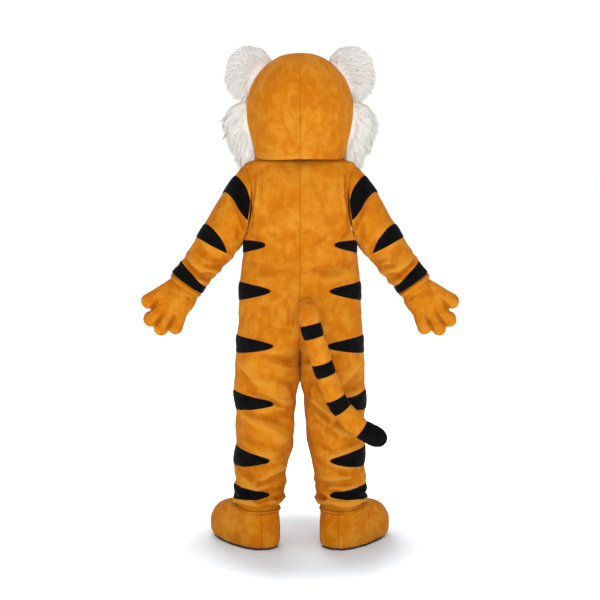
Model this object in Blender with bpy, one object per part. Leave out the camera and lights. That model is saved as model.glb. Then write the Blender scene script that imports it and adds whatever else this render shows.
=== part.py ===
import math

import bmesh
import bpy
import numpy as np

# A tiger mascot costume, worn: a plush coverall with open neck, cuffs and leg hems, a
# hollow head, two gloves, two boots and a stuffed tail. Metres, +Z up, facing -Y.
# The wearer's left is +X. The soles stand on z = 0.

for old in list(bpy.data.objects):
    bpy.data.objects.remove(old, do_unlink=True)

# Driving dimensions
GAP = 0.0003             # between pieces that meet at a seam
PLUSH = 0.003            # plush cloth, backing and pile
HEAD_WALL = 0.008        # plush over foam
STRIPE = 0.0022          # black plush sewn on
STRIPE_LIFT = 0.0026     # from the panel to the back of a stripe
SOLE = 0.012             # rubber sole
PANEL_STEPS = 6          # facets across each suit panel
SLEEVE_STEPS = 14        # facets round a sleeve

# Each level of the suit, from the leg hem to the neck. Below the crotch the section is
# an ellipse round the leg's centre; above it the two halves meet at the middle.
# Columns: height, leg centre, half width, depth behind, depth in front, lift in front
SUIT = np.array([
    (0.166, 0.1655, 0.0885, 0.100, 0.090, 0.022),
    (0.186, 0.1580, 0.1020, 0.112, 0.104, 0.018),
    (0.207, 0.1560, 0.0965, 0.104, 0.097, 0.010),
    (0.230, 0.1570, 0.1000, 0.107, 0.101, 0.006),
    (0.262, 0.1530, 0.1000, 0.104, 0.100, 0.002),
    (0.335, 0.1500, 0.1050, 0.110, 0.104, 0.000),
    (0.407, 0.1370, 0.1140, 0.116, 0.108, 0.000),
    (0.512, 0.1350, 0.1155, 0.113, 0.112, 0.000),
    (0.578, 0.1340, 0.1210, 0.116, 0.118, 0.000),
    (0.670, 0.1270, 0.1250, 0.127, 0.122, 0.000),
    (0.759, 0.1235, 0.1225, 0.134, 0.126, 0.000),
    (0.778, 0.1130, 0.1315, 0.137, 0.127, 0.000),
    (0.802, 0.0960, 0.1480, 0.141, 0.128, 0.000),
    (0.842, 0.0640, 0.1775, 0.146, 0.130, 0.000),
    (0.892, 0.0300, 0.2075, 0.148, 0.132, 0.000),
    (0.947, 0.0080, 0.2270, 0.145, 0.134, 0.000),
    (1.012, 0.0000, 0.2330, 0.135, 0.136, 0.000),
    (1.087, 0.0000, 0.2240, 0.127, 0.138, 0.000),
    (1.155, 0.0000, 0.2170, 0.126, 0.140, 0.000),
    (1.179, 0.0000, 0.2165, 0.128, 0.141, 0.000),
    (1.272, 0.0000, 0.2100, 0.135, 0.142, 0.000),
    (1.372, 0.0000, 0.2060, 0.136, 0.134, 0.000),
    (1.437, 0.0000, 0.2080, 0.124, 0.118, 0.000),
    (1.479, 0.0000, 0.2120, 0.101, 0.097, 0.000),
    (1.491, 0.0000, 0.1880, 0.094, 0.091, 0.000),
    (1.498, 0.0000, 0.1500, 0.088, 0.085, 0.000),
    (1.502, 0.0000, 0.1180, 0.083, 0.081, 0.000),
    (1.510, 0.0000, 0.1010, 0.079, 0.078, 0.000),
    (1.533, 0.0000, 0.0950, 0.076, 0.076, 0.000),
])

# The armhole: an upright oval, its rim standing this far from the middle at each height
ARMHOLE_MID = 1.329
ARMHOLE_HALF = 0.150
ARMHOLE_DEPTH = 0.090
ARMHOLE_RIM = np.array([
    # height, distance from the middle
    (1.179, 0.2165), (1.227, 0.2010), (1.312, 0.1860),
    (1.392, 0.1830), (1.442, 0.1950), (1.479, 0.2120),
])

# Each ring of a sleeve: the outer (upper) and the inner (lower) edge, half depth, and how
# far the ring stands forward. The first ring is the armhole itself.
# Columns: outer x, outer z, inner x, inner z, half depth, forward
SLEEVE = np.array([
    (0.2500, 1.433, 0.2235, 1.165, 0.091, 0.001),
    (0.3000, 1.361, 0.2350, 1.149, 0.088, 0.004),
    (0.3390, 1.294, 0.2520, 1.129, 0.084, 0.008),
    (0.3760, 1.234, 0.2740, 1.105, 0.080, 0.013),
    (0.4130, 1.174, 0.3020, 1.074, 0.076, 0.018),
    (0.4480, 1.122, 0.3360, 1.038, 0.073, 0.023),
    (0.4938, 1.060, 0.3812, 0.980, 0.070, 0.028),
])
CUFF = np.array([
    # outer x, outer z, inner x, inner z, half depth, forward
    (0.4945, 1.0588, 0.3820, 0.9788, 0.0699, 0.0282),
    (0.5005, 1.0440, 0.3927, 0.9670, 0.067, 0.030),
])

# Body stripes, wrapped round the side seam and pointed behind and in front
# Columns: top at the seam, bottom at the seam, tip's height, tip's distance from the middle
BODY_STRIPES = np.array([
    (1.162, 1.134, 1.174, 0.129),
    (1.032, 0.958, 1.002, 0.110),
    (0.828, 0.757, 0.795, 0.099),
    (0.614, 0.538, 0.572, 0.099),
    (0.400, 0.318, 0.352, 0.114),
    (0.250, 0.190, 0.217, 0.114),
])

# Tail centre line from the seat of the suit, and where its colours change
TAIL_RADIUS = 0.039
TAIL_PATH = np.array([
    # x, y, z
    (-0.028, 0.150, 0.944), (-0.029, 0.183, 0.934), (-0.035, 0.199, 0.897),
    (-0.052, 0.200, 0.836), (-0.081, 0.194, 0.741), (-0.097, 0.190, 0.694),
    (-0.132, 0.186, 0.607), (-0.159, 0.184, 0.562), (-0.220, 0.182, 0.497),
    (-0.324, 0.182, 0.439),
])
TAIL_RINGS = np.array([
    # top, bottom, as heights on the centre line
    (0.885, 0.836), (0.741, 0.694), (0.607, 0.562),
])
TAIL_TIP = 0.490

# Head: half width, depth behind and depth in front at each height
HEAD = np.array([
    # height, half width, behind, in front
    (1.5045, 0.166, 0.166, 0.162),
    (1.541, 0.174, 0.178, 0.176),
    (1.592, 0.186, 0.190, 0.190),
    (1.649, 0.196, 0.198, 0.198),
    (1.706, 0.202, 0.202, 0.202),
    (1.752, 0.194, 0.200, 0.200),
    (1.797, 0.167, 0.184, 0.184),
    (1.842, 0.136, 0.150, 0.150),
    (1.871, 0.103, 0.112, 0.112),
    (1.888, 0.064, 0.070, 0.070),
    (1.8945, 0.024, 0.026, 0.026),
    (1.8950, 0.004, 0.004, 0.004),
])
EAR_CENTRE = (0.188, 1.832)
EAR_REACH = 0.096
EAR_DEPTH = 0.034
# Cheek fur: where it meets the head, where it reaches to, and its half depth
RUFF = np.array([
    # root height, end x, end z, half depth
    (1.712, 0.212, 1.716, 0.018), (1.692, 0.270, 1.689, 0.034), (1.652, 0.301, 1.632, 0.044),
    (1.612, 0.299, 1.580, 0.048), (1.576, 0.284, 1.541, 0.048), (1.541, 0.256, 1.509, 0.040),
    (1.508, 0.226, 1.482, 0.024),
])

# Gloves: sections of the palm along its axis, from the open wrist to the knuckles
PALM_START = (0.4308, 1.0350)
PALM_TURN = 27.0         # degrees from upright, outwards
# Columns: distance along the axis, half width, half depth
PALM = np.array([
    (0.000, 0.0570, 0.0520), (0.045, 0.0595, 0.0520), (0.080, 0.0640, 0.0460),
    (0.112, 0.0610, 0.0410), (0.136, 0.0520, 0.0340), (0.150, 0.0340, 0.0220),
])
# Each finger from its root to the middle of its rounded end
# Columns: root x, root z, end x, end z, root radius, end radius
FINGERS = np.array([
    (0.497, 0.986, 0.5880, 0.9505, 0.0500, 0.0285),
    (0.510, 0.940, 0.5790, 0.8800, 0.0370, 0.0290),
    (0.500, 0.912, 0.5390, 0.8440, 0.0300, 0.0280),
    (0.465, 0.912, 0.4830, 0.8490, 0.0300, 0.0275),
])
FINGER_DEPTH = 0.0285    # half depth of the thickest finger
GLOVE_Y = -0.034         # the gloves stand a little forward of the middle
GLOVE_WALL = 0.0025

# Boots: a foot outline that changes with height. Distances run from the heel's centre.
BOOT_CENTRE = (0.163, 0.010)
BOOT_TURN = 31.0         # degrees that the toe turns out
# Columns: height at heel, height at toe, heel reach, toe reach, heel half width, ball half width
BOOT = np.array([
    (0.0123, 0.0123, 0.090, 0.276, 0.090, 0.104),
    (0.0320, 0.0300, 0.096, 0.288, 0.096, 0.112),
    (0.0620, 0.0640, 0.096, 0.288, 0.096, 0.113),
    (0.0900, 0.1000, 0.094, 0.270, 0.094, 0.109),
    (0.1120, 0.1320, 0.090, 0.232, 0.090, 0.101),
    (0.1280, 0.1530, 0.085, 0.175, 0.085, 0.092),
    (0.1405, 0.1610, 0.083, 0.100, 0.083, 0.083),
])
BOOT_BAND = np.array([
    (0.1410, 0.1615, 0.083, 0.100, 0.083, 0.083),
    (0.1490, 0.1640, 0.083, 0.092, 0.082, 0.082),
    (0.1560, 0.1690, 0.074, 0.076, 0.074, 0.074),
    (0.2050, 0.2150, 0.074, 0.075, 0.073, 0.073),
])
BOOT_STEPS = 14          # facets round a boot
SIDE_SEAM = 0.050        # the boot's side seam, forward of the heel's centre
HEEL_SEAM = math.radians(163)  # angle of the seam up the heel, a little to the outside


def material(name, color, roughness):
    made = bpy.data.materials.new(name)
    made.use_nodes = True
    shader = made.node_tree.nodes["Principled BSDF"]
    shader.inputs["Base Color"].default_value = (*color, 1.0)
    shader.inputs["Roughness"].default_value = roughness
    shader.inputs["Metallic"].default_value = 0.0
    return made


ORANGE = (0.73, 0.27, 0.013)
BLACK = (0.008, 0.007, 0.007)
CREAM = (0.78, 0.74, 0.68)


def curve(rows, values, at):
    """A smooth curve through a table that never overshoots its rows."""
    rows, values = np.asarray(rows, float), np.asarray(values, float)
    step = np.diff(rows)
    slope = np.diff(values) / step
    tangent = np.empty_like(values)
    tangent[0], tangent[-1] = slope[0], slope[-1]
    same = slope[:-1] * slope[1:] > 0
    total = np.where(same, slope[:-1] + slope[1:], 1.0)
    tangent[1:-1] = np.where(same, 2 * slope[:-1] * slope[1:] / total, 0.0)
    at = np.clip(np.asarray(at, float), rows[0], rows[-1])
    k = np.clip(np.searchsorted(rows, at, side="right") - 1, 0, len(step) - 1)
    t = (at - rows[k]) / step[k]
    return (
        values[k] * (2 * t**3 - 3 * t**2 + 1)
        + tangent[k] * step[k] * (t**3 - 2 * t**2 + t)
        + values[k + 1] * (3 * t**2 - 2 * t**3)
        + tangent[k + 1] * step[k] * (t**3 - t**2)
    )


def grid_normals(points, middle, around):
    """Unit normals of a grid of points, pointing away from the middle line."""
    if around:
        wide = np.concatenate([points[:, -1:], points, points[:, :1]], axis=1)
        across = np.gradient(wide, axis=1)[:, 1:-1]
    else:
        across = np.gradient(points, axis=1)
    along = np.gradient(points, axis=0)
    normals = np.cross(along, across)
    normals /= np.maximum(np.linalg.norm(normals, axis=2, keepdims=True), 1e-12)
    if (normals * (points - middle)).sum() < 0:
        normals = -normals
    return normals


def add_object(name, points, faces, color, roughness=0.85, merge_flat=False):
    mesh = bpy.data.meshes.new(name)
    mesh.from_pydata([tuple(p) for p in points], [], [tuple(f) for f in faces])
    work = bmesh.new()
    work.from_mesh(mesh)
    bmesh.ops.recalc_face_normals(work, faces=work.faces)
    if merge_flat:
        bmesh.ops.dissolve_limit(
            work, angle_limit=math.radians(2), verts=work.verts, edges=work.edges
        )
    bmesh.ops.triangulate(work, faces=work.faces)
    work.to_mesh(mesh)
    work.free()
    mesh.shade_smooth()
    mesh.materials.append(material(name + "_cloth", color, roughness))
    made = bpy.data.objects.new(name, mesh)
    bpy.context.scene.collection.objects.link(made)
    return made


def closed_faces(rows, columns, around):
    """Faces of an outer grid, an inner grid after it, and the edges between them."""
    faces = []
    shift = rows * columns
    last = columns if around else columns - 1

    def at(row, column):
        return row * columns + column % columns

    for row in range(rows - 1):
        for column in range(last):
            a, b = at(row, column), at(row, column + 1)
            c, d = at(row + 1, column + 1), at(row + 1, column)
            faces.append((a, b, c, d))
            faces.append((d + shift, c + shift, b + shift, a + shift))
    for row, turn in ((0, True), (rows - 1, False)):
        for column in range(last):
            a, b = at(row, column), at(row, column + 1)
            edge = (a, a + shift, b + shift, b) if turn else (a, b, b + shift, a + shift)
            faces.append(edge)
    if not around:
        for column, turn in ((0, False), (columns - 1, True)):
            for row in range(rows - 1):
                a, b = at(row, column), at(row + 1, column)
                edge = (a, a + shift, b + shift, b) if turn else (a, b, b + shift, a + shift)
                faces.append(edge)
    return faces


def wall_piece(name, outer, inner, color, around=False, roughness=0.85):
    rows, columns = outer.shape[:2]
    points = np.concatenate([outer.reshape(-1, 3), inner.reshape(-1, 3)])
    return add_object(name, points, closed_faces(rows, columns, around), color, roughness)


def mirrored(points, side):
    """The same points on the wearer's left (side 1) or right (side -1)."""
    return points * np.array((side, 1.0, 1.0))


SIDES = (("left", 1), ("right", -1))


# Suit panels ------------------------------------------------------------------------

def armhole_depth(height):
    inside = 1 - ((height - ARMHOLE_MID) / ARMHOLE_HALF) ** 2
    return ARMHOLE_DEPTH * np.sqrt(np.clip(inside, 0, 1))


def suit_section(height, back):
    """Leg centre, half width, depth, lift, and the first and last angle of each row."""
    centre, width, behind, ahead, lift = (
        curve(SUIT[:, 0], SUIT[:, k], height) for k in range(1, 6)
    )
    depth = behind if back else ahead
    hole = armhole_depth(height)
    first = np.arcsin(hole / depth)
    rim = curve(ARMHOLE_RIM[:, 0], ARMHOLE_RIM[:, 1], height)
    width = np.where(hole > 0, rim / np.cos(first), width)
    last = np.arccos(np.clip(-centre / width, -1, 1))
    return centre, width, depth, lift, first, last


def section_angle(share, first, last):
    """Spreads the columns so that they stay nearly upright past the crotch."""
    short = 1 - np.clip(last / math.pi, 0.5, 1)
    power = 1 + 3 * np.clip(1 - 2 * short, 0, 1) ** 0.7
    return first + (math.pi - first) * share - (math.pi - last) * share**power


def suit_grid(heights, shares, back):
    """Outer points of one panel: rows by height, columns from side seam to middle."""
    centre, width, depth, lift, first, last = suit_section(heights, back)
    angle = section_angle(shares[None, :], first[:, None], last[:, None])
    x = centre[:, None] + width[:, None] * np.cos(angle)
    y = depth[:, None] * np.sin(angle)
    z = heights[:, None] + 0 * x
    if not back:
        z = z + lift[:, None] * np.sin(angle)
        y = -y
    return np.stack([x, y, z], axis=2)


def trimmed(points, back):
    """Keeps a panel on its own side of the middle and side seams."""
    points = points.copy()
    points[..., 0] = np.maximum(points[..., 0], GAP / 2)
    if back:
        points[..., 1] = np.maximum(points[..., 1], GAP / 2)
    else:
        points[..., 1] = np.minimum(points[..., 1], -GAP / 2)
    return points


armhole_rows = ARMHOLE_MID + ARMHOLE_HALF * np.cos(np.linspace(math.pi, 0, SLEEVE_STEPS // 2 + 1))
outside = np.abs(SUIT[:, 0] - ARMHOLE_MID) > ARMHOLE_HALF + 1e-6
suit_heights = np.sort(np.concatenate([SUIT[outside, 0], armhole_rows]))
panel_shares = np.linspace(0, 1, PANEL_STEPS + 1)
suit_middle = np.stack(
    [curve(SUIT[:, 0], SUIT[:, 1], suit_heights), 0 * suit_heights, suit_heights], axis=1
)[:, None, :]
panels = {}
for panel_name, back in (("back", True), ("front", False)):
    outer = suit_grid(suit_heights, panel_shares, back)
    normals = grid_normals(outer, suit_middle, False)
    panels[back] = (outer, normals)
    inner = trimmed(outer - PLUSH * normals, back)
    outer = trimmed(outer, back)
    for side_name, side in SIDES:
        wall_piece(
            f"suit_{panel_name}_{side_name}", mirrored(outer, side), mirrored(inner, side), ORANGE
        )


# Sleeves ----------------------------------------------------------------------------

sleeve_angles = np.linspace(0, 2 * math.pi, SLEEVE_STEPS, endpoint=False)


def sleeve_rings(table):
    """Each ring is an ellipse between its outer and inner edge; angle 0 is the outer edge."""
    up, round_y = np.cos(sleeve_angles), np.sin(sleeve_angles)
    middle = (table[:, 0:2] + table[:, 2:4]) / 2
    reach = (table[:, 0:2] - table[:, 2:4]) / 2
    x = middle[:, 0:1] + reach[:, 0:1] * up
    z = middle[:, 1:2] + reach[:, 1:2] * up
    y = table[:, 4:5] * round_y - table[:, 5:6]
    return np.stack([x, y, z], axis=2)


def armhole_ring():
    z = ARMHOLE_MID + ARMHOLE_HALF * np.cos(sleeve_angles)
    y = ARMHOLE_DEPTH * np.sin(sleeve_angles)
    x = curve(ARMHOLE_RIM[:, 0], ARMHOLE_RIM[:, 1], z) + 2 * GAP
    return np.stack([x, y, z], axis=1)[None]


def ring_middles(rings):
    return rings.mean(axis=1, keepdims=True)


sleeve_outer = np.concatenate([armhole_ring(), sleeve_rings(SLEEVE)])
sleeve_normals = grid_normals(sleeve_outer, ring_middles(sleeve_outer), True)
sleeve_inner = sleeve_outer - PLUSH * sleeve_normals
sleeve_inner[0, :, 0] = np.maximum(sleeve_inner[0, :, 0], sleeve_outer[0, :, 0])
cuff_outer = sleeve_rings(CUFF)
cuff_normals = grid_normals(cuff_outer, ring_middles(cuff_outer), True)
cuff_inner = cuff_outer - PLUSH * cuff_normals
for side_name, side in SIDES:
    wall_piece(
        f"sleeve_{side_name}", mirrored(sleeve_outer, side), mirrored(sleeve_inner, side),
        ORANGE, around=True,
    )
    wall_piece(
        f"cuff_{side_name}", mirrored(cuff_outer, side), mirrored(cuff_inner, side),
        ORANGE, around=True,
    )


# Stripes sewn on the panels ---------------------------------------------------------

def on_grid(grid, row, column):
    """Points of a grid at fractional rows and columns."""
    rows, columns = grid.shape[:2]
    r = np.clip(np.floor(row).astype(int), 0, rows - 2)
    c = np.clip(np.floor(column).astype(int), 0, columns - 2)
    u, v = (row - r)[..., None], (column - c)[..., None]
    return (
        grid[r, c] * (1 - u) * (1 - v) + grid[r + 1, c] * u * (1 - v)
        + grid[r, c + 1] * (1 - u) * v + grid[r + 1, c + 1] * u * v
    )


def stripe_piece(name, points, normals, side):
    outer = points + (STRIPE_LIFT + STRIPE) * normals
    inner = points + STRIPE_LIFT * normals
    wall_piece(name, mirrored(outer, side), mirrored(inner, side), BLACK)


def body_stripe(top, bottom, tip_height, tip_x, across=3):
    """Points and normals of a stripe from its front tip, round the side seam, to its back tip."""
    base = (top + bottom) / 2
    centre, width, _, _, first, last = suit_section(np.array([tip_height]), True)
    tries = np.linspace(0, 1, 201)
    tip_angle = float(np.arccos((tip_x - centre) / width)[0])
    tip = float(np.interp(tip_angle, section_angle(tries, first[0], last[0]), tries))
    inside = panel_shares[panel_shares < tip - 0.03]
    shares = np.concatenate([inside, [tip]])
    shares = np.concatenate([-shares[:0:-1], shares])
    reach = np.abs(shares) / tip
    middle = base + (tip_height - base) * reach
    half = (top - bottom) / 2 * (1 - reach**1.7) + 0.0015
    spread = np.linspace(-1, 1, across + 1)
    height = middle[:, None] + half[:, None] * spread[None, :]
    row = np.interp(height, suit_heights, np.arange(len(suit_heights)))
    column = np.abs(shares)[:, None] * PANEL_STEPS + 0 * row
    is_back = (shares >= 0)[:, None, None]
    points = np.where(
        is_back, on_grid(panels[True][0], row, column), on_grid(panels[False][0], row, column)
    )
    normals = np.where(
        is_back, on_grid(panels[True][1], row, column), on_grid(panels[False][1], row, column)
    )
    return points, normals / np.linalg.norm(normals, axis=2, keepdims=True)


for number, (top, bottom, tip_height, tip_x) in enumerate(BODY_STRIPES, 1):
    across = 2 if number < 5 else 4
    points, normals = body_stripe(top, bottom, tip_height, tip_x, across)
    for side_name, side in SIDES:
        stripe_piece(f"body_stripe_{number}_{side_name}", points, normals, side)


def sleeve_stripe(start, end, tip, across=3):
    """A stripe on the sleeve between two edges, each a function of the angle from the top."""
    step = 2 * math.pi / SLEEVE_STEPS
    count = int((tip - 0.05) / step)
    angles = np.concatenate([step * np.arange(count + 1), [tip]])
    angles = np.concatenate([-angles[:0:-1], angles])
    size = np.abs(angles) / tip
    row = start(size)[:, None] + (end(size) - start(size))[:, None] * np.linspace(0, 1, across + 1)
    column = (angles / step)[:, None] + 0 * row
    wrapped = np.concatenate([sleeve_outer, sleeve_outer, sleeve_outer[:, :1]], axis=1)
    wrapped_normals = np.concatenate(
        [sleeve_normals, sleeve_normals, sleeve_normals[:, :1]], axis=1
    )
    points = on_grid(wrapped, row, column + SLEEVE_STEPS)
    normals = on_grid(wrapped_normals, row, column + SLEEVE_STEPS)
    return points, normals / np.linalg.norm(normals, axis=2, keepdims=True)


# Rows of the sleeve grid that each stripe starts and ends at, from its top to its tips
sleeve_stripes = (
    sleeve_stripe(
        lambda size: np.maximum(1.10 * (1 - size / 0.84), 0.03),
        lambda size: 0.06 + 1.89 * (1 - size) ** 0.62,
        math.radians(113), 5,
    ),
    sleeve_stripe(
        lambda size: 3.73 - 0.36 * size,
        lambda size: 3.79 - 0.36 * size + 0.86 * (1 - size**1.9),
        math.radians(132), 2,
    ),
)
for number, (points, normals) in enumerate(sleeve_stripes, 1):
    for side_name, side in SIDES:
        stripe_piece(f"sleeve_stripe_{number}_{side_name}", points, normals, side)

# The third stripe runs all the way round, narrower under the arm
band = 0.5 + 0.5 * np.cos(sleeve_angles)
band_rows = np.stack([6.60 - 0.38 * band, 6.97 + 0.0 * band])
band_columns = np.arange(SLEEVE_STEPS)[None, :] + 0 * band_rows
closing = np.concatenate([sleeve_outer, sleeve_outer[:, :1]], axis=1)
closing_normals = np.concatenate([sleeve_normals, sleeve_normals[:, :1]], axis=1)
band_points = on_grid(closing, band_rows, band_columns)
band_normals = on_grid(closing_normals, band_rows, band_columns)
for side_name, side in SIDES:
    wall_piece(
        f"sleeve_stripe_3_{side_name}",
        mirrored(band_points + (STRIPE_LIFT + STRIPE) * band_normals, side),
        mirrored(band_points + STRIPE_LIFT * band_normals, side),
        BLACK, around=True,
    )


# Tail -------------------------------------------------------------------------------

def smooth_path(points, count):
    """Points evenly spaced along a smooth line through the given ones."""
    length = np.concatenate([[0], np.cumsum(np.linalg.norm(np.diff(points, axis=0), axis=1))])
    fine = np.linspace(0, length[-1], 400)
    line = np.stack([curve(length, points[:, k], fine) for k in range(3)], axis=1)
    run = np.concatenate([[0], np.cumsum(np.linalg.norm(np.diff(line, axis=0), axis=1))])
    even = np.linspace(0, run[-1], count)
    return np.stack([np.interp(even, run, line[:, k]) for k in range(3)], axis=1)


tail_line = smooth_path(TAIL_PATH, 401)
tail_length = np.linalg.norm(np.diff(tail_line, axis=0), axis=1).sum()


def tail_share(height):
    return float(np.interp(-height, -tail_line[:, 2], np.linspace(0, 1, len(tail_line))))


def tube_rings(share, radius, sides=10):
    """Rings of a tube at the given shares of the tail's line, square to it."""
    step = np.linspace(0, 1, len(tail_line))
    centre = np.stack([np.interp(share, step, tail_line[:, k]) for k in range(3)], axis=1)
    tangents = np.gradient(tail_line, axis=0)
    tangent = np.stack([np.interp(share, step, tangents[:, k]) for k in range(3)], axis=1)
    tangent /= np.linalg.norm(tangent, axis=1, keepdims=True)
    side = np.cross((1.0, 0.0, 0.45) + 0 * tangent, tangent)
    side /= np.linalg.norm(side, axis=1, keepdims=True)
    other = np.cross(tangent, side)
    turn = np.linspace(0, 2 * math.pi, sides, endpoint=False)
    ring = side[:, None] * np.cos(turn)[:, None] + other[:, None] * np.sin(turn)[:, None]
    return centre[:, None] + ring * np.asarray(radius)[:, None, None]


def solid_tube(name, rings, color):
    """A filled tube: the rings, with a flat cap at each end."""
    rows, sides = rings.shape[:2]
    faces = []
    for row in range(rows - 1):
        for k in range(sides):
            a, b = row * sides + k, row * sides + (k + 1) % sides
            faces.append((a, b, b + sides, a + sides))
    faces.append(tuple(range(sides)))
    faces.append(tuple(reversed(range((rows - 1) * sides, rows * sides))))
    return add_object(name, rings.reshape(-1, 3), faces, color)


edges = [0.012]
for top, bottom in TAIL_RINGS:
    edges += [tail_share(top), tail_share(bottom)]
edges += [tail_share(TAIL_TIP)]
half_gap = GAP / tail_length
for number in range(len(edges) - 1):
    first, last = edges[number] + half_gap, edges[number + 1] - half_gap
    name = f"tail_orange_{number // 2 + 1}" if number % 2 == 0 else f"tail_ring_{number // 2 + 1}"
    share = np.linspace(first, last, 6 if number == 0 else 3)
    rings = tube_rings(share, TAIL_RADIUS + 0 * share)
    if number == 0:
        rings[0, :, 1] = rings[0, :, 1].min()
    solid_tube(name, rings, ORANGE if number % 2 == 0 else BLACK)
share = edges[-1] + half_gap + (1 - edges[-1] - half_gap) * np.array((0, 0.35, 0.65, 0.86, 0.96, 1))
solid_tube("tail_tip", tube_rings(share, TAIL_RADIUS * np.array((1, 1, 0.98, 0.82, 0.5, 0.12))), BLACK)


# Head -------------------------------------------------------------------------------

def head_grid(heights, angles):
    """Outer points of the head. Angle 0 is the left side, 90 degrees the back."""
    width, behind, ahead = (curve(HEAD[:, 0], HEAD[:, k], heights) for k in (1, 2, 3))
    depth = np.where(np.sin(angles)[None, :] > 0, behind[:, None], ahead[:, None])
    x = width[:, None] * np.cos(angles)[None, :]
    y = depth * np.sin(angles)[None, :]
    return np.stack([x, y, heights[:, None] + 0 * x], axis=2)


def head_piece(name, first, last, steps):
    heights = HEAD[:, 0]
    angles = np.radians(np.linspace(first, last, steps + 1))
    outer = head_grid(heights, angles)
    middle = np.stack([0 * heights, 0 * heights, 0 * heights + 1.66], axis=1)[:, None]
    normals = grid_normals(outer, middle, False)
    inner = outer - HEAD_WALL * normals
    inner[..., 2] = np.minimum(inner[..., 2], HEAD[-1, 0] - HEAD_WALL * 0.8)
    inner[0, :, 2] = HEAD[0, 0]
    for points in (outer, inner):
        if name != "head_front":
            points[..., 1] = np.maximum(points[..., 1], GAP / 2)
            edge = points[..., 0]
            limit = GAP / 2
            points[..., 0] = np.maximum(edge, limit) if last <= 90 else np.minimum(edge, -limit)
        else:
            points[..., 1] = np.minimum(points[..., 1], -GAP / 2)
    wall_piece(name, outer, inner, ORANGE)


head_piece("head_back_left", 0, 90, 5)
head_piece("head_back_right", 90, 180, 5)
head_piece("head_front", 180, 360, 8)


def lens_solid(name, inner_line, outer_line, half_depth, y_middle, color, side, across=4):
    """A solid between two lines in the x-z plane, rounded from front to back."""
    rows = len(inner_line)
    share = np.linspace(0, 1, across + 1)
    flat = inner_line[:, None] + (outer_line - inner_line)[:, None] * share[None, :, None]
    swell = np.sqrt(np.clip(1 - share**2.2, 0.02, 1))
    depth = half_depth[:, None] * swell[None, :]
    front = np.stack([flat[..., 0], y_middle - depth, flat[..., 1]], axis=2)
    behind = np.stack([flat[..., 0], y_middle + depth, flat[..., 1]], axis=2)
    wall_piece(name, mirrored(front, side), mirrored(behind, side), color)


def head_width(height):
    return curve(HEAD[:, 0], HEAD[:, 1], height)


# Ears: a disc of fur that stands on the upper side of the head
ear_low, ear_high = 1.718, 1.868
ear_heights = np.linspace(ear_low, ear_high, 8)
ear_inner = np.stack([head_width(ear_heights) + 0.0015, ear_heights], axis=1)
start = math.atan2(ear_low - EAR_CENTRE[1], ear_inner[0, 0] - EAR_CENTRE[0])
stop = math.atan2(ear_high - EAR_CENTRE[1], ear_inner[-1, 0] - EAR_CENTRE[0])
ear_turn = np.linspace(start + 0.22, stop - 0.20, 8)
ear_outer = np.stack(
    [EAR_CENTRE[0] + EAR_REACH * np.cos(ear_turn), EAR_CENTRE[1] + EAR_REACH * np.sin(ear_turn)],
    axis=1,
)
ear_depth = EAR_DEPTH * np.array((0.45, 0.8, 0.95, 1, 1, 0.95, 0.8, 0.45))
ruff_inner = np.stack([head_width(RUFF[:, 0]) + 0.0015, RUFF[:, 0]], axis=1)
ruff_outer = RUFF[:, 1:3]
for side_name, side in SIDES:
    lens_solid(f"ear_{side_name}", ear_inner, ear_outer, ear_depth, 0.0, CREAM, side)
    lens_solid(f"cheek_fur_{side_name}", ruff_inner, ruff_outer, RUFF[:, 3], 0.0, CREAM, side)


def pad_solid(name, centre, radii, color, gap, roughness=0.6, steps=12, rings=4):
    """A rounded pad on the face: it follows the face behind and swells forward."""
    points, faces = [], []
    for layer in (0.0, 1.0):
        for ring in range(rings):
            tilt = ring / rings * math.pi / 2
            for k in range(steps):
                turn = 2 * math.pi * k / steps
                x = centre[0] + radii[0] * math.cos(tilt) * math.cos(turn)
                z = centre[1] + radii[2] * math.cos(tilt) * math.sin(turn)
                swell = gap + layer * (0.004 + radii[1] * math.sin(tilt))
                points.append((x, face_surface(x, z) - swell, z))
        middle = gap + layer * (0.004 + radii[1])
        points.append((centre[0], face_surface(*centre) - middle, centre[1]))
    size = rings * steps + 1
    for layer in (0, size):
        for ring in range(rings - 1):
            for k in range(steps):
                a, b = layer + ring * steps + k, layer + ring * steps + (k + 1) % steps
                faces.append((a, b, b + steps, a + steps))
        last = layer + (rings - 1) * steps
        for k in range(steps):
            faces.append((last + k, last + (k + 1) % steps, layer + size - 1))
    for k in range(steps):
        faces.append((k, (k + 1) % steps, size + (k + 1) % steps, size + k))
    return add_object(name, points, faces, color, roughness)


def face_surface(x, z):
    """The y of the head's front at this place."""
    width = float(curve(HEAD[:, 0], HEAD[:, 1], z))
    depth = float(curve(HEAD[:, 0], HEAD[:, 3], z))
    return -depth * math.sqrt(max(0.0, 1 - (x / width) ** 2))


pad_solid("muzzle", (0, 1.612), (0.088, 0.056, 0.060), CREAM, 0.001)
nose_gap = 0.056 + 0.004 + 0.0015
pad_solid("nose", (0, 1.640), (0.026, 0.016, 0.018), BLACK, nose_gap, 0.35, 8, 3)
for side_name, side in SIDES:
    pad_solid(
        f"eye_{side_name}", (side * 0.072, 1.723), (0.030, 0.012, 0.038), (0.9, 0.9, 0.9),
        0.001, 0.2, 10, 2,
    )


# Boots ------------------------------------------------------------------------------

def signed_power(values, power):
    return np.sign(values) * np.abs(values) ** power


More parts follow.
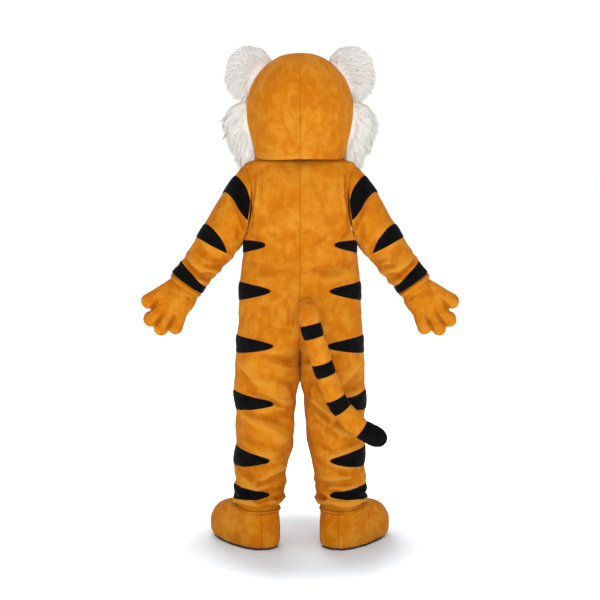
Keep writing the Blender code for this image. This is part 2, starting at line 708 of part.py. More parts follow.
def boot_outline(row, angles):
    """One level of a boot: angle 0 is the toe, 90 degrees the outer side."""
    heel_z, toe_z, heel, toe, heel_width, ball_width = row
    forward = (toe - heel) / 2 + (toe + heel) / 2 * signed_power(np.cos(angles), 0.85)
    share = np.clip((forward + heel) / (toe + heel), 0, 1)
    share = share * share * (3 - 2 * share)
    width = heel_width + (ball_width - heel_width) * share
    aside = width * signed_power(np.sin(angles), 0.85)
    turn = math.radians(BOOT_TURN)
    x = BOOT_CENTRE[0] + forward * math.sin(turn) + aside * math.cos(turn)
    y = BOOT_CENTRE[1] - forward * math.cos(turn) + aside * math.sin(turn)
    return np.stack([x, y, heel_z + (toe_z - heel_z) * share], axis=-1)


def seam_angle(row):
    """Where the side seam crosses this level."""
    heel_z, toe_z, heel, toe = row[:4]
    share = (SIDE_SEAM - (toe - heel) / 2) / ((toe + heel) / 2)
    return math.acos(float(signed_power(np.array(share), 1 / 0.85)))


def boot_angles(row):
    """Columns of one level: the vamp, then the outer and the inner side of the heel."""
    seam = seam_angle(row)
    return np.concatenate([
        np.linspace(-seam, seam, 6, endpoint=False),
        np.linspace(seam, HEEL_SEAM, 4, endpoint=False),
        np.linspace(HEEL_SEAM, 2 * math.pi - seam, 4, endpoint=False),
    ])


def parted(points, first, last):
    """The columns of one piece, its two edges drawn back from the seams."""
    piece = points[:, np.arange(first, last + 1) % points.shape[1]].copy()
    for edge, inside in ((0, 1), (-1, -2)):
        inward = piece[:, inside] - piece[:, edge]
        piece[:, edge] += GAP * inward / np.linalg.norm(inward, axis=1, keepdims=True)
    return piece


boot_middle = np.array((BOOT_CENTRE[0] + 0.02, BOOT_CENTRE[1] - 0.05, 0.05))
round_angles = np.linspace(0, 2 * math.pi, BOOT_STEPS, endpoint=False)
boot_outer = np.stack([boot_outline(row, boot_angles(row)) for row in BOOT])
boot_inner = boot_outer - PLUSH * grid_normals(boot_outer, boot_middle, True)
boot_inner[0, :, 2] = boot_outer[0, :, 2]
boot_inner[-1, :, 2] = np.minimum(boot_inner[-1, :, 2], boot_outer[-1, :, 2])
for part_name, first, last in (("vamp", 0, 6), ("heel_outer", 6, 10), ("heel_inner", 10, 14)):
    outer, inner = parted(boot_outer, first, last), parted(boot_inner, first, last)
    for side_name, side in SIDES:
        wall_piece(
            f"boot_{part_name}_{side_name}", mirrored(outer, side), mirrored(inner, side), ORANGE
        )
band_outer = np.stack([boot_outline(row, boot_angles(row)) for row in BOOT_BAND])
band_normals = grid_normals(band_outer, ring_middles(band_outer), True)
band_normals[..., 2] = 0
band_inner = band_outer - PLUSH * band_normals
sole_row = BOOT[0].copy()
sole_row[2:6] -= 0.002
sole_top = boot_outline(sole_row, round_angles)
sole_top[:, 2] = SOLE
sole_bottom = sole_top * (1, 1, 0)
for side_name, side in SIDES:
    wall_piece(
        f"boot_band_{side_name}", mirrored(band_outer, side), mirrored(band_inner, side),
        ORANGE, around=True,
    )
    solid_tube(
        f"boot_sole_{side_name}", mirrored(np.stack([sole_bottom, sole_top]), side), BLACK
    )


# Gloves -----------------------------------------------------------------------------

def loft(centres, half_widths, half_depths, along, sides=8):
    """Rings square to a line in the x-z plane, at y = GLOVE_Y."""
    across = np.array((-along[1], 0.0, along[0]))
    turn = np.linspace(0, 2 * math.pi, sides, endpoint=False) + math.pi / sides
    centre = np.stack([centres[:, 0], 0 * centres[:, 0] + GLOVE_Y, centres[:, 1]], axis=1)
    return (
        centre[:, None]
        + across * (np.asarray(half_widths)[:, None] * np.cos(turn))[..., None]
        + np.array((0.0, 1.0, 0.0)) * (np.asarray(half_depths)[:, None] * np.sin(turn))[..., None]
    )


def palm_rings(thinner, longer):
    turn = math.radians(PALM_TURN)
    along = np.array((math.sin(turn), -math.cos(turn)))
    table = PALM.copy()
    table[:, 1:] -= thinner
    table[-1, 0] -= thinner
    table[0, 0] -= longer
    centres = np.array(PALM_START) + along * table[:, 0:1]
    return loft(centres, table[:, 1], table[:, 2], along, 10)


def finger_rings(row, thinner):
    root, end = np.array(row[0:2]), np.array(row[2:4])
    start, radius = row[4] - thinner, row[5] - thinner
    length = np.linalg.norm(end - root)
    along = (end - root) / length
    stations = np.array((0, length, length + 0.62 * radius, length + 0.93 * radius))
    sizes = np.array((start, radius, 0.79 * radius, 0.37 * radius))
    depths = np.minimum(sizes, FINGER_DEPTH - thinner)
    return loft(root + along * stations[:, None], sizes, depths, along)


def joined(first, others, operation):
    """One object made from the first and the others by an exact Boolean."""
    for other in others:
        cut = first.modifiers.new("cut", "BOOLEAN")
        cut.operation = operation
        cut.solver = "EXACT"
        cut.object = other
    made = bpy.data.meshes.new_from_object(
        first.evaluated_get(bpy.context.evaluated_depsgraph_get())
    )
    name = first.name
    for old in (first, *others):
        bpy.data.objects.remove(old, do_unlink=True)
    result = bpy.data.objects.new(name, made)
    bpy.context.scene.collection.objects.link(result)
    return result


def hand_form(thinner, longer):
    palm = solid_tube("hand", palm_rings(thinner, longer), ORANGE)
    fingers = [
        solid_tube(f"finger{k}", finger_rings(row, thinner), ORANGE)
        for k, row in enumerate(FINGERS)
    ]
    return joined(palm, fingers, "UNION")


def half_block(front):
    """A block over the front or the back half of a glove."""
    low, high = (GLOVE_Y - 0.2, GLOVE_Y - GAP / 2) if front else (GLOVE_Y + GAP / 2, GLOVE_Y + 0.2)
    corners = [(x, y, z) for x, z in ((0.3, 0.7), (0.8, 0.7), (0.8, 1.2), (0.3, 1.2))
               for y in (low, high)]
    rings = np.array(corners).reshape(4, 2, 3).transpose(1, 0, 2)
    return solid_tube("half", rings, ORANGE)


for piece_name, front in (("back", False), ("palm", True)):
    glove = joined(hand_form(0.0, 0.0), [hand_form(GLOVE_WALL, 0.02)], "DIFFERENCE")
    glove = joined(glove, [half_block(front)], "INTERSECT")
    shape = glove.data
    points = np.array([vertex.co[:] for vertex in shape.vertices])
    faces = [tuple(face.vertices) for face in shape.polygons]
    bpy.data.objects.remove(glove, do_unlink=True)
    for side_name, side in SIDES:
        add_object(
            f"glove_{piece_name}_{side_name}", mirrored(points, side), faces, ORANGE,
            merge_flat=True,
        )
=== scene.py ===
import math

import bmesh
import bpy
import numpy as np
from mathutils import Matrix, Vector


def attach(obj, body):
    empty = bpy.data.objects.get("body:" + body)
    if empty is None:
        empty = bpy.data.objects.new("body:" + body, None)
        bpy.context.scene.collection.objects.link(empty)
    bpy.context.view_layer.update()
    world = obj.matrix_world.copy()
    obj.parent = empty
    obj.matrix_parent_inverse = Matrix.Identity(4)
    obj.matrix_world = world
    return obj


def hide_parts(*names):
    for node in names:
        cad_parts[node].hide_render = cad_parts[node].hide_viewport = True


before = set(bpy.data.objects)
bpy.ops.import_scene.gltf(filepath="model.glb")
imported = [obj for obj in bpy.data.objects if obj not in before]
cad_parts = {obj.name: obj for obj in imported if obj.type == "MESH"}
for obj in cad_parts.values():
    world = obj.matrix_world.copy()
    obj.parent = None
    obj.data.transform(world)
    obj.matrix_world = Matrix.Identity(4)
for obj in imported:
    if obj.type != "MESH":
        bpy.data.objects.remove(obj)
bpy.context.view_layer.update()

scene = bpy.context.scene
gap = 0.0003  # between pieces that meet at a seam
foldShadeHeight = 0.005  # height at which a fold of the cloth shows its full painted shade in a hollow and full painted highlight on a ridge
leastCut = 0.31  # least share of its rectangle that a flat cut takes up
sides = (("left", 1), ("right", -1))


# a table written in millimetres, in metres
def millimetres(*rows):
    return np.array(rows) / 1000


def objectOf(name, data):
    made = bpy.data.objects.new(name, data)
    scene.collection.objects.link(made)
    return made


# a camera or a lamp at a spot, looking at a target
def aimed(name, data, spot, target):
    made = objectOf(name, data)
    made.location = spot
    made.rotation_euler = (Vector(target) - made.location).to_track_quat("-Z", "Y").to_euler()
    return made


# camera and light
cameraLens = bpy.data.cameras.new("camera")
cameraLens.lens, cameraLens.sensor_width = 78.23, 36
scene.camera = aimed("camera", cameraLens, (0, 5.0, 1.4), (0, 0, 0.958))
scene.view_settings.view_transform = "Standard"

studio = {
    "sky": 0.57, "backdrop": 1.02,
    # name, place, size in metres, power in watts
    "lamps": [
        ("key", (-1.4, 4.5, 2.3), 1.3, 46),
        ("fill", (2.9, 4.2, 1.6), 2.6, 24),
        ("low", (-0.3, 4.4, 0.45), 1.6, 54),
        ("top", (0.0, 0.5, 4.6), 2.2, 38),
        ("front", (0.8, -4.2, 3.0), 2.2, 90),
    ],
}

world = bpy.data.worlds.new("studio")
world.use_nodes = True
world.node_tree.nodes["Background"].inputs["Color"].default_value = (1, 1, 1, 1)
scene.world = world
for lampName, spot, size, power in studio["lamps"]:
    lamp = bpy.data.lights.new(lampName, "AREA")
    lamp.energy, lamp.size = power, size
    aimed(lampName, lamp, spot, (0, 0, 1.0))


# one output of a shader tree; + - * / and ** on it add maths nodes
class Wire:
    def __init__(self, tree, socket=None):
        self.tree, self.socket = tree, socket

    # any node: its type, its settings, then its socket values or links, by name or number
    def make(self, kind, settings=None, sockets=None, out=0):
        made = self.tree.nodes.new(kind)
        for key, value in (settings or {}).items():
            setattr(made, key, value)
        for key, value in (sockets or {}).items():
            if isinstance(value, Wire):
                self.tree.links.new(value.socket, made.inputs[key])
            else:
                made.inputs[key].default_value = value
        return Wire(self.tree, made.outputs[out])

    def maths(self, operation, *values):
        return self.make("ShaderNodeMath", {"operation": operation}, dict(enumerate(values)))

    def __add__(self, other):
        return self.maths("ADD", self, other)

    def __sub__(self, other):
        return self.maths("SUBTRACT", self, other)

    def __rsub__(self, other):
        return self.maths("SUBTRACT", other, self)

    def __mul__(self, other):
        return self.maths("MULTIPLY", self, other)

    def __truediv__(self, other):
        return self.maths("DIVIDE", self, other)

    def __rtruediv__(self, other):
        return self.maths("DIVIDE", other, self)

    def __pow__(self, other):
        return self.maths("POWER", self, other)

    __radd__ = __add__
    __rmul__ = __mul__

    # 0 below low, 1 above high, smooth between
    def ease(self, low, high):
        return self.make(
            "ShaderNodeMapRange", {"interpolation_type": "SMOOTHSTEP"},
            {"Value": self, "From Min": low, "From Max": high},
        )

    def mix(self, first, second):
        return self.make("ShaderNodeMix", {"data_type": "RGBA"}, {0: self, 6: first, 7: second}, out=2)

    def noise(self, place, scale, detail=2.0, rough=0.5, twist=0.0):
        return self.make(
            "ShaderNodeTexNoise", None,
            {"Vector": place, "Scale": scale, "Detail": detail, "Roughness": rough, "Distortion": twist},
        )

    def stretch(self, place, x, y, z):
        return self.make(
            "ShaderNodeVectorMath", {"operation": "MULTIPLY"}, {0: place, 1: (x, y, z)}
        )

    def bump(self, height, strength, distance):
        return self.make(
            "ShaderNodeBump", None, {"Height": height, "Strength": strength, "Distance": distance}
        )


# a display colour from 0 to 255 as linear light
def tint(red, green, blue):
    shown = np.array((red, green, blue)) / 255
    linear = np.where(shown <= 0.04045, shown / 12.92, ((shown + 0.055) / 1.055) ** 2.4)
    return (*(float(v) for v in linear), 1.0)


# a material with its shader, a Wire to build on and its object coordinates
def blankMaterial(name, constants):
    made = bpy.data.materials.new(name)
    made.use_nodes = True
    shader = made.node_tree.nodes["Principled BSDF"]
    for key, value in constants.items():
        shader.inputs[key].default_value = value
    wire = Wire(made.node_tree)
    place = wire.make("ShaderNodeTexCoord", out=3)
    return made, shader, wire, place


def link(wire, shader, key):
    wire.tree.links.new(wire.socket, shader.inputs[key])


# the backdrop shows white, and lights the costume more softly than it shows
seen = Wire(world.node_tree).make("ShaderNodeLightPath")
link(seen * (studio["backdrop"] - studio["sky"]) + studio["sky"], world.node_tree.nodes["Background"], "Strength")

# colours of painted shade in deep folds, low, middle and high pile, then the sizes of its patterns; the high pile
# colour is also painted as highlight on the folds' ridges
orangeLook = {
    "deep": tint(150, 72, 0), "dark": tint(177, 95, 2), "mid": tint(184, 107, 5), "light": tint(196, 131, 38),
    "mottle": 17, "streak": 28, "pile": 420, "bump": 0.8,
}
blackLook = {
    "deep": tint(1, 1, 1), "dark": tint(2, 2, 2), "mid": tint(4, 4, 4), "light": tint(11, 10, 10),
    "mottle": 24, "streak": 60, "pile": 420, "bump": 0.5,
}


# short plush: patches where the pile lies differently, streaks along its nap, fine pile bump, and painted shade in
# the hollows of its folds and seams with painted highlight on their ridges
def plush(name, look, sheen):
    made, shader, wire, place = blankMaterial(name, {
        "Roughness": 0.9, "Sheen Weight": sheen["weight"], "Sheen Roughness": sheen["rough"],
        "Sheen Tint": sheen["tint"], "Specular IOR Level": 0.08,
    })
    patch = wire.noise(place, look["mottle"], 2.5, 0.55, 0.7)
    broad = wire.noise(place, look["mottle"] * 0.36, 1.0, 0.5, 0.4)
    napAndFoldShade = wire.noise(wire.stretch(place, 1.0, 1.0, 0.7), look["streak"], 3.5, 0.62, 0.9)
    pile = wire.noise(wire.stretch(place, 1.0, 1.0, 0.6), look["pile"], 3.0, 0.65)
    fold = wire.make("ShaderNodeAttribute", {"attribute_name": "napAndFoldShade"}, out=2)
    shade = (patch * 0.6 + napAndFoldShade * 0.4).ease(0.36, 0.58)
    base = (shade * 0.85 + 0.15).mix(look["dark"], look["mid"])
    lifted = (napAndFoldShade * 0.4 + patch * 0.35 + broad * 0.25).ease(0.44, 0.66)
    base = (lifted * 0.72).mix(base, look["light"])
    speck = (pile * 0.5 + napAndFoldShade * 0.5).ease(0.32, 0.68)
    base = (speck * 0.12).mix(base, look["light"])
    # painted shade in hollows and painted highlight on ridges, from the cloth's relief height kept on the mesh
    base = (fold.ease(-0.05, -1.0) * 0.34).mix(base, look["deep"])
    base = (fold.ease(0.05, 1.0) * 0.6).mix(base, look["light"])
    link(base, shader, "Base Color")
    height = pile * 0.3 + napAndFoldShade * 0.6 + patch * 1.0
    link(wire.bump(height, look["bump"], 0.0045), shader, "Normal")
    return made


orangePlush = plush("orange plush", orangeLook, {"weight": 0.05, "rough": 0.5, "tint": (1, 0.66, 0.3, 1)})
blackPlush = plush("black plush", blackLook, {"weight": 0.025, "rough": 0.35, "tint": (0.8, 0.8, 0.9, 1)})
plushes = {"orange": orangePlush, "black": blackPlush}


# long fur: darker and warmer at the root, a painted shade among the strands, by the strand's own UV: lock shade (a
# random tone for each lock), then root to tip
creamFur, furShader, furWire, furPlace = blankMaterial("cream fur", {
    "Roughness": 0.75, "Specular IOR Level": 0.2, "Sheen Weight": 0.1,
    # a faint glow, painted light that lifts the fur's shade
    "Emission Color": (1, 0.97, 0.92, 1), "Emission Strength": 0.05,
})
strand = furWire.make("ShaderNodeUVMap", {"uv_map": "strand"})
lockShade, along = (furWire.make("ShaderNodeSeparateXYZ", None, {0: strand}, k) for k in (0, 1))
# darker at the root: painted shade among the strands
furBase = along.ease(0.0, 0.9).mix(tint(209, 203, 195), tint(219, 217, 213))
furBase = (lockShade.ease(0.0, 1.0) * 0.3).mix(furBase, tint(209, 204, 197))
furBase = (furWire.noise(furPlace, 24, 2.0).ease(0.45, 0.7) * 0.18).mix(furBase, tint(197, 190, 182))
link(furBase, furShader, "Base Color")


# one flat colour with a fine grain
def plain(name, color, rough, grain, strength):
    made, shader, wire, place = blankMaterial(name, {"Base Color": color, "Roughness": rough})
    link(wire.bump(wire.noise(place, grain, 3.0), strength, 0.001), shader, "Normal")
    return made


soleRubber = plain("sole rubber", tint(24, 22, 22), 0.7, 160, 0.25)
nosePlastic = plain("nose plastic", tint(20, 17, 17), 0.28, 40, 0.05)


# an eye: rings of colour by the distance from its middle, in metres
def eyeMaterial(name, middle):
    made, shader, wire, place = blankMaterial(name, {"Roughness": 0.12, "Coat Weight": 0.5})
    parts = [wire.make("ShaderNodeSeparateXYZ", None, {0: place}, k) for k in (0, 2)]
    away = ((parts[0] - middle[0]) ** 2 + (parts[1] - middle[1]) ** 2) ** 0.5
    base = away.ease(0.0175, 0.0185).mix(tint(150, 92, 20), tint(240, 238, 232))
    base = away.ease(0.0095, 0.0105).mix(tint(8, 7, 7), base)
    link(base, shader, "Base Color")
    return made


# the floor glows more with distance: little glow near the costume, a painted shadow round its feet, and white
# further off as a lit backdrop; its blue tint offsets the orange light the costume throws on it; near, far, first
# and last metre
floorSettings = {"half": 9.0, "color": (0.76, 0.83, 0.88, 1), "glow": (0.03, 1.0, 0.28, 0.85)}
floorMesh = bpy.data.meshes.new("floor")
half = floorSettings["half"]
floorMesh.from_pydata(
    [(-half, -half, 0), (half, -half, 0), (half, half, 0), (-half, half, 0)], [], [(0, 1, 2, 3)]
)
floor = objectOf("floor", floorMesh)
floorLook, floorShader, floorWire, floorPlace = blankMaterial("floor", {
    "Base Color": floorSettings["color"], "Roughness": 0.85, "Emission Strength": 1.0,
})
near, far, start, end = floorSettings["glow"]
away = floorWire.make("ShaderNodeVectorMath", {"operation": "LENGTH"}, {0: floorPlace}, 1)
# low glow near the middle: a painted shadow round the feet
link(away.ease(start, end).mix((near, near, near, 1), (far, far, far, 1)), floorShader, "Emission Color")
floorMesh.materials.append(floorLook)
print("stage: studio")


# monotone cubic through a table: never overshoots its rows
def curve(rows, values, at):
    rows, values = np.asarray(rows, float), np.asarray(values, float)
    step = np.diff(rows)
    slope = np.diff(values) / step
    tangent = np.empty_like(values)
    tangent[0], tangent[-1] = slope[0], slope[-1]
    same = slope[:-1] * slope[1:] > 0
    total = np.where(same, slope[:-1] + slope[1:], 1.0)
    tangent[1:-1] = np.where(same, 2 * slope[:-1] * slope[1:] / total, 0.0)
    at = np.clip(np.asarray(at, float), rows[0], rows[-1])
    k = np.clip(np.searchsorted(rows, at, side="right") - 1, 0, len(step) - 1)
    t = (at - rows[k]) / step[k]
    return (
        values[k] * (2 * t**3 - 3 * t**2 + 1) + tangent[k] * step[k] * (t**3 - 2 * t**2 + t)
        + values[k + 1] * (3 * t**2 - 2 * t**3) + tangent[k + 1] * step[k] * (t**3 - t**2)
    )


def ease(low, high, value):
    t = np.clip((value - low) / (high - low), 0, 1)
    return t * t * (3 - 2 * t)


# 1 at zero, falling away on both sides: exp(-(value / width)^2)
def bell(value, width):
    return np.exp(-((value / width) ** 2))


# every row value with every column value
def spread(rows, columns):
    return np.meshgrid(rows, columns, indexing="ij")


# angles all round, the last not repeating the first
def allRound(count):
    return np.linspace(0, 2 * math.pi, count, endpoint=False)


# short creases scattered over a height range: slanting down to the middle, uneven in size
def scattered(count, low, high, reach, seed):
    rng = np.random.default_rng(seed)
    x = rng.uniform(0.03, reach, count)
    z = rng.uniform(low, high, count)
    length = rng.uniform(0.03, 0.085, count)
    tilt = rng.normal(-0.42, 0.3, count)
    depth = rng.choice((-1.0, 1.0), count, p=(0.6, 0.4)) * rng.uniform(0.001, 0.0028, count)
    return np.stack([
        x + length / 2, z - length * tilt / 2, x - length / 2, z + length * tilt / 2,
        rng.uniform(0.005, 0.009, count), depth,
    ], axis=1)


# sum of six plane waves with wavelengths round the given size, from -1 to 1
def waves(points, size, seed):
    rng = np.random.default_rng(seed)
    total = 0
    for _ in range(6):
        way = rng.normal(size=3)
        way *= 2 * math.pi / (size * rng.uniform(0.7, 1.5) * np.linalg.norm(way))
        total = total + np.sin(points @ way + rng.uniform(0, 2 * math.pi))
    return total / 3.2


# sum of height * waves for each row of height, size, seed
def lumps(points, table):
    return sum(height * waves(points, size, seed) for height, size, seed in table)


# each fold: depth * exp(-(distance to its line / width)^2), its line bent by slow waves
def folds(points, table, scale=1.85):
    x = points[..., 0] + 0.006 * waves(points, 0.16, 5)
    z = points[..., 2] + 0.006 * waves(points, 0.14, 6)
    total = np.zeros(x.shape)
    for startX, startZ, endX, endZ, width, depth in table:
        runX, runZ = endX - startX, endZ - startZ
        length = runX**2 + runZ**2
        t = np.clip(((x - startX) * runX + (z - startZ) * runZ) / length, 0, 1)
        away = ((x - startX - runX * t) ** 2 + (z - startZ - runZ * t) ** 2) / width**2
        near = away < 9
        swell = 0.35 + 0.65 * np.sin(np.pi * (0.12 + 0.76 * t))
        total[near] += (depth * np.exp(-away) * swell)[near]
    return scale * total


# point + normal * (relief + lift), the normal from differences along u and v
def skin(form, u, v, relief, lift=0.0, stepU=1e-3, stepV=1e-3, limitU=None, limitV=None):
    lowU, highU = u - stepU, u + stepU
    lowV, highV = v - stepV, v + stepV
    if limitU:
        lowU, highU = np.maximum(lowU, limitU[0]), np.minimum(highU, limitU[1])
    if limitV:
        lowV, highV = np.maximum(lowV, limitV[0]), np.minimum(highV, limitV[1])
    points = form(u, v)
    normals = np.cross(form(highU, v) - form(lowU, v), form(u, highV) - form(u, lowV))
    normals /= np.maximum(np.linalg.norm(normals, axis=-1, keepdims=True), 1e-12)
    return points, normals, relief(points) + lift


def pushed(points, normals, height, sign):
    return points + sign * normals * np.asarray(height)[..., None]


def mirrored(points, side):
    return points * np.array((side, 1.0, 1.0))


# quads of a grid of points, rows by columns, wrapped in columns if closed
def gridFaces(rows, columns, closed):
    last = columns if closed else columns - 1
    row, column = spread(np.arange(rows - 1), np.arange(last))
    following = (column + 1) % columns
    return np.stack([
        row * columns + column, row * columns + following,
        (row + 1) * columns + following, (row + 1) * columns + column,
    ], axis=-1).reshape(-1, 4)


# runs one bmesh step on a mesh
def reworked(mesh, step):
    work = bmesh.new()
    work.from_mesh(mesh)
    step(work)
    work.to_mesh(mesh)
    work.free()


# how far the cloth stands out of its form, for the painted shade in its hollows and painted highlight on its
# ridges: 1 at the full height
def writeFoldShade(mesh, height, full):
    layer = mesh.attributes.new("napAndFoldShade", "FLOAT", "POINT")
    layer.data.foreach_set("value", np.clip(height / full, -1, 1).astype(np.float32).ravel())


def thicken(made, thick):
    shell = made.modifiers.new("shell", "SOLIDIFY")
    shell.thickness, shell.offset = thick, -1


# one mesh from a grid of points, its faces turned the way that outward points
def gridMesh(name, points, material, outward, closed=False, thick=0.0, napAndFoldShade=None):
    faces = gridFaces(*points.shape[:2], closed)
    flat = points.reshape(-1, 3)
    corners = flat[faces]
    normal = np.cross(corners[:, 2] - corners[:, 0], corners[:, 3] - corners[:, 1])
    if (normal * outward.reshape(-1, 3)[faces[:, 0]]).sum() < 0:
        faces = faces[:, ::-1]
    mesh = bpy.data.meshes.new(name)
    mesh.from_pydata(flat.tolist(), [], faces.tolist())
    # the relief height, kept on the mesh for the material's painted shade in hollows and painted highlight on
    # ridges
    if napAndFoldShade is not None:
        writeFoldShade(mesh, napAndFoldShade, foldShadeHeight)
    reworked(mesh, lambda work: bmesh.ops.remove_doubles(work, verts=work.verts, dist=1e-6))
    mesh.shade_smooth()
    mesh.materials.append(material)
    made = objectOf(name, mesh)
    if thick:
        thicken(made, thick)
    return made


# width and length of the flat cut: the longest row and the longest column, and its area
def cutOf(points, closed=False):
    wide = np.concatenate([points, points[:, :1]], axis=1) if closed else points
    across = np.linalg.norm(np.diff(wide, axis=1), axis=2).sum(axis=1).max()
    along = np.linalg.norm(np.diff(points, axis=0), axis=2).sum(axis=0).max()
    a = np.diff(wide[:-1], axis=1)
    b = np.diff(points, axis=0)
    b = b if closed else b[:, :-1]
    area = np.linalg.norm(np.cross(a, b), axis=2).sum()
    flat = (round(float(across), 2), round(float(along), 2))
    return flat, round(float(np.clip(area, leastCut * flat[0] * flat[1], flat[0] * flat[1])), 4)


# hands a piece to the frame under the root, and hides what it replaces
def handOver(piece, nodes, slot, cut=None, fill=None, rests=()):
    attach(piece, "root")
    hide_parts(*nodes)


# one piece of plush in place of a node; its points and outward are those of the left side
def dress(node, ending, look, side, points, outward, closed=False, thick=0.0, napAndFoldShade=None, **given):
    piece = gridMesh(
        f"{node}_{ending}", mirrored(points, side), plushes[look], mirrored(outward, side), closed, thick, napAndFoldShade
    )
    handOver(piece, [node], look + "_plush", **given)


# suit: the body of the costume and its legs
suit = {
    "thick": 0.003, "rows": 260, "columns": 50, "hem": 0.173,
    # height, leg centre, half width, depth behind, depth in front, lift in front
    "levels": millimetres(
        (166, 165.5, 88.5, 100, 90, 22), (186, 158, 102, 112, 104, 18), (207, 156, 96.5, 104, 97, 10),
        (230, 157, 100, 107, 101, 6), (262, 153, 100, 104, 100, 2), (335, 150, 105, 110, 104, 0),
        (407, 137, 114, 116, 108, 0), (512, 135, 115.5, 113, 112, 0), (578, 134, 121, 116, 118, 0),
        (670, 127, 125, 127, 122, 0), (759, 123.5, 122.5, 134, 126, 0), (778, 113, 131.5, 137, 127, 0),
        (802, 96, 148, 141, 128, 0), (842, 64, 177.5, 146, 130, 0), (892, 30, 207.5, 148, 132, 0),
        (947, 8, 227, 145, 134, 0), (1012, 0, 233, 135, 136, 0), (1087, 0, 224, 127, 138, 0),
        (1155, 0, 217, 126, 140, 0), (1179, 0, 216.5, 128, 141, 0), (1272, 0, 210, 135, 142, 0),
        (1372, 0, 206, 136, 134, 0), (1437, 0, 208, 133, 124, 0), (1479, 0, 212, 120, 112, 0),
        (1491, 0, 188, 111, 104, 0), (1498, 0, 150, 100, 96, 0), (1502, 0, 118, 90, 88, 0),
        (1510, 0, 101, 79, 78, 0), (1533, 0, 95, 76, 76, 0),
    ),
    # wavy lumps: height, wavelength, seed
    "lumps": ((0.0016, 0.1, 21), (0.0007, 0.045, 22)),
    "armholeMid": 1.329, "armholeHalf": 0.15, "armholeDepth": 0.09,
    # height, distance of the armhole's rim from the middle
    "rim": millimetres(
        (1179, 216.5), (1227, 201), (1312, 186), (1392, 183), (1442, 195), (1479, 212),
    ),
    # folds behind, the same on both sides: start x, start z, end x, end z, width, depth
    "foldsBehind": millimetres(
        (176, 1435, 190, 1245, 9, -6), (160, 1430, 176, 1300, 12, 4), (148, 1450, 158, 1360, 10, -2.2),
        (198, 1235, 160, 1195, 11, -4), (205, 1105, 120, 1090, 14, -3), (150, 1075, 20, 1080, 16, -2.6),
        (190, 1060, 90, 1045, 13, 2.2), (195, 945, 90, 925, 18, -2.2), (41, 950, 46, 880, 7, -4.2),
        (55, 945, 62, 890, 8, 3), (24, 930, 28, 870, 6, -3.4), (145, 752, 20, 735, 10, -4),
        (130, 770, 20, 765, 10, 3), (120, 722, 16, 700, 9, 2.8), (222, 716, 150, 652, 14, 6),
        (226, 680, 170, 640, 12, -4), (40, 660, 24, 560, 9, -3), (100, 676, 30, 640, 10, -3.4),
    ),
    "foldsLeftBehind": millimetres(
        (188, 628, 82, 575, 10, -7), (110, 608, 24, 572, 9, 5.6), (170, 600, 70, 552, 12, 4),
        (200, 535, 84, 500, 11, -5.6), (220, 520, 130, 476, 13, 4.4), (120, 520, 40, 470, 10, -4),
        (110, 470, 48, 430, 12, 3.6), (230, 455, 150, 420, 13, -4), (140, 430, 60, 390, 11, -4.6),
        (200, 390, 100, 372, 12, 4), (248, 318, 158, 270, 10, -7), (236, 300, 160, 252, 10, 5.2),
        (150, 262, 50, 292, 9, -6.4), (130, 284, 56, 316, 10, 5), (170, 330, 60, 326, 11, -3.4),
    ),
    "foldsRightBehind": millimetres(
        (41, 562, 120, 502, 9, -8), (50, 585, 130, 530, 11, 5), (165, 624, 234, 648, 10, -5.4),
        (160, 605, 236, 628, 11, 4.4), (70, 640, 130, 610, 12, -3.6), (60, 500, 140, 455, 10, -5),
        (120, 480, 230, 440, 12, 4.4), (200, 520, 110, 470, 11, -3.6), (60, 420, 150, 385, 11, -4.4),
        (220, 410, 130, 380, 12, 4), (250, 310, 150, 300, 9, -5.6), (72, 250, 176, 272, 9, -6.6),
        (80, 275, 190, 296, 10, 5.2), (66, 330, 160, 306, 10, -4), (140, 345, 236, 330, 12, 3.6),
    ),
    # bunching at the ankle, both sides, all round
    "foldsAnkle": millimetres(
        (96, 201, 70, 214, 7, -10), (245, 232, 180, 218, 7.5, -6), (160, 226, 80, 238, 8, -6),
        (220, 252, 110, 248, 8.5, 5), (150, 196, 100, 190, 8, 4), (250, 200, 190, 196, 9, 3),
    ),
    # folds in front, both sides
    "foldsFront": millimetres(
        (178, 1430, 190, 1250, 10, -5.5), (158, 1420, 176, 1300, 12, 3.6), (196, 1235, 150, 1190, 11, -3.8),
        (200, 1090, 90, 1070, 15, -3), (150, 1040, 30, 1050, 16, 2.6), (190, 940, 80, 920, 17, -3),
        (160, 860, 30, 800, 11, -5), (130, 880, 20, 830, 12, 3.6), (190, 800, 60, 745, 12, -4),
        (210, 700, 100, 660, 14, 4), (200, 610, 80, 580, 11, -5.5), (220, 560, 110, 520, 13, 4.4),
        (180, 500, 70, 470, 11, -5), (220, 430, 110, 400, 12, -4), (190, 350, 80, 330, 10, -5.6),
        (230, 300, 120, 280, 10, 5), (200, 260, 90, 250, 9, -6),
    ),
}


# half width, depth, lift and the first and last angle of each height
def suitSection(height, back):
    levels = suit["levels"]
    centre, width, behind, ahead, lift = (curve(levels[:, 0], levels[:, k], height) for k in range(1, 6))
    depth = behind if back else ahead
    inside = 1 - ((height - suit["armholeMid"]) / suit["armholeHalf"]) ** 2
    hole = suit["armholeDepth"] * np.sqrt(np.clip(inside, 0, 1))
    first = np.arcsin(hole / depth)
    rim = curve(suit["rim"][:, 0], suit["rim"][:, 1], height)
    width = np.where(hole > 0, rim / np.cos(first), width)
    last = np.arccos(np.clip(-centre / width, -1, 1))
    return centre, width, depth, lift, first, last


# angle at a share of the way from the side seam to the middle seam
def sectionAngle(share, first, last):
    short = 1 - np.clip(last / math.pi, 0.5, 1)
    power = 1 + 3 * np.clip(1 - 2 * short, 0, 1) ** 0.7
    return first + (math.pi - first) * share - (math.pi - last) * np.clip(share, 0, None) ** power


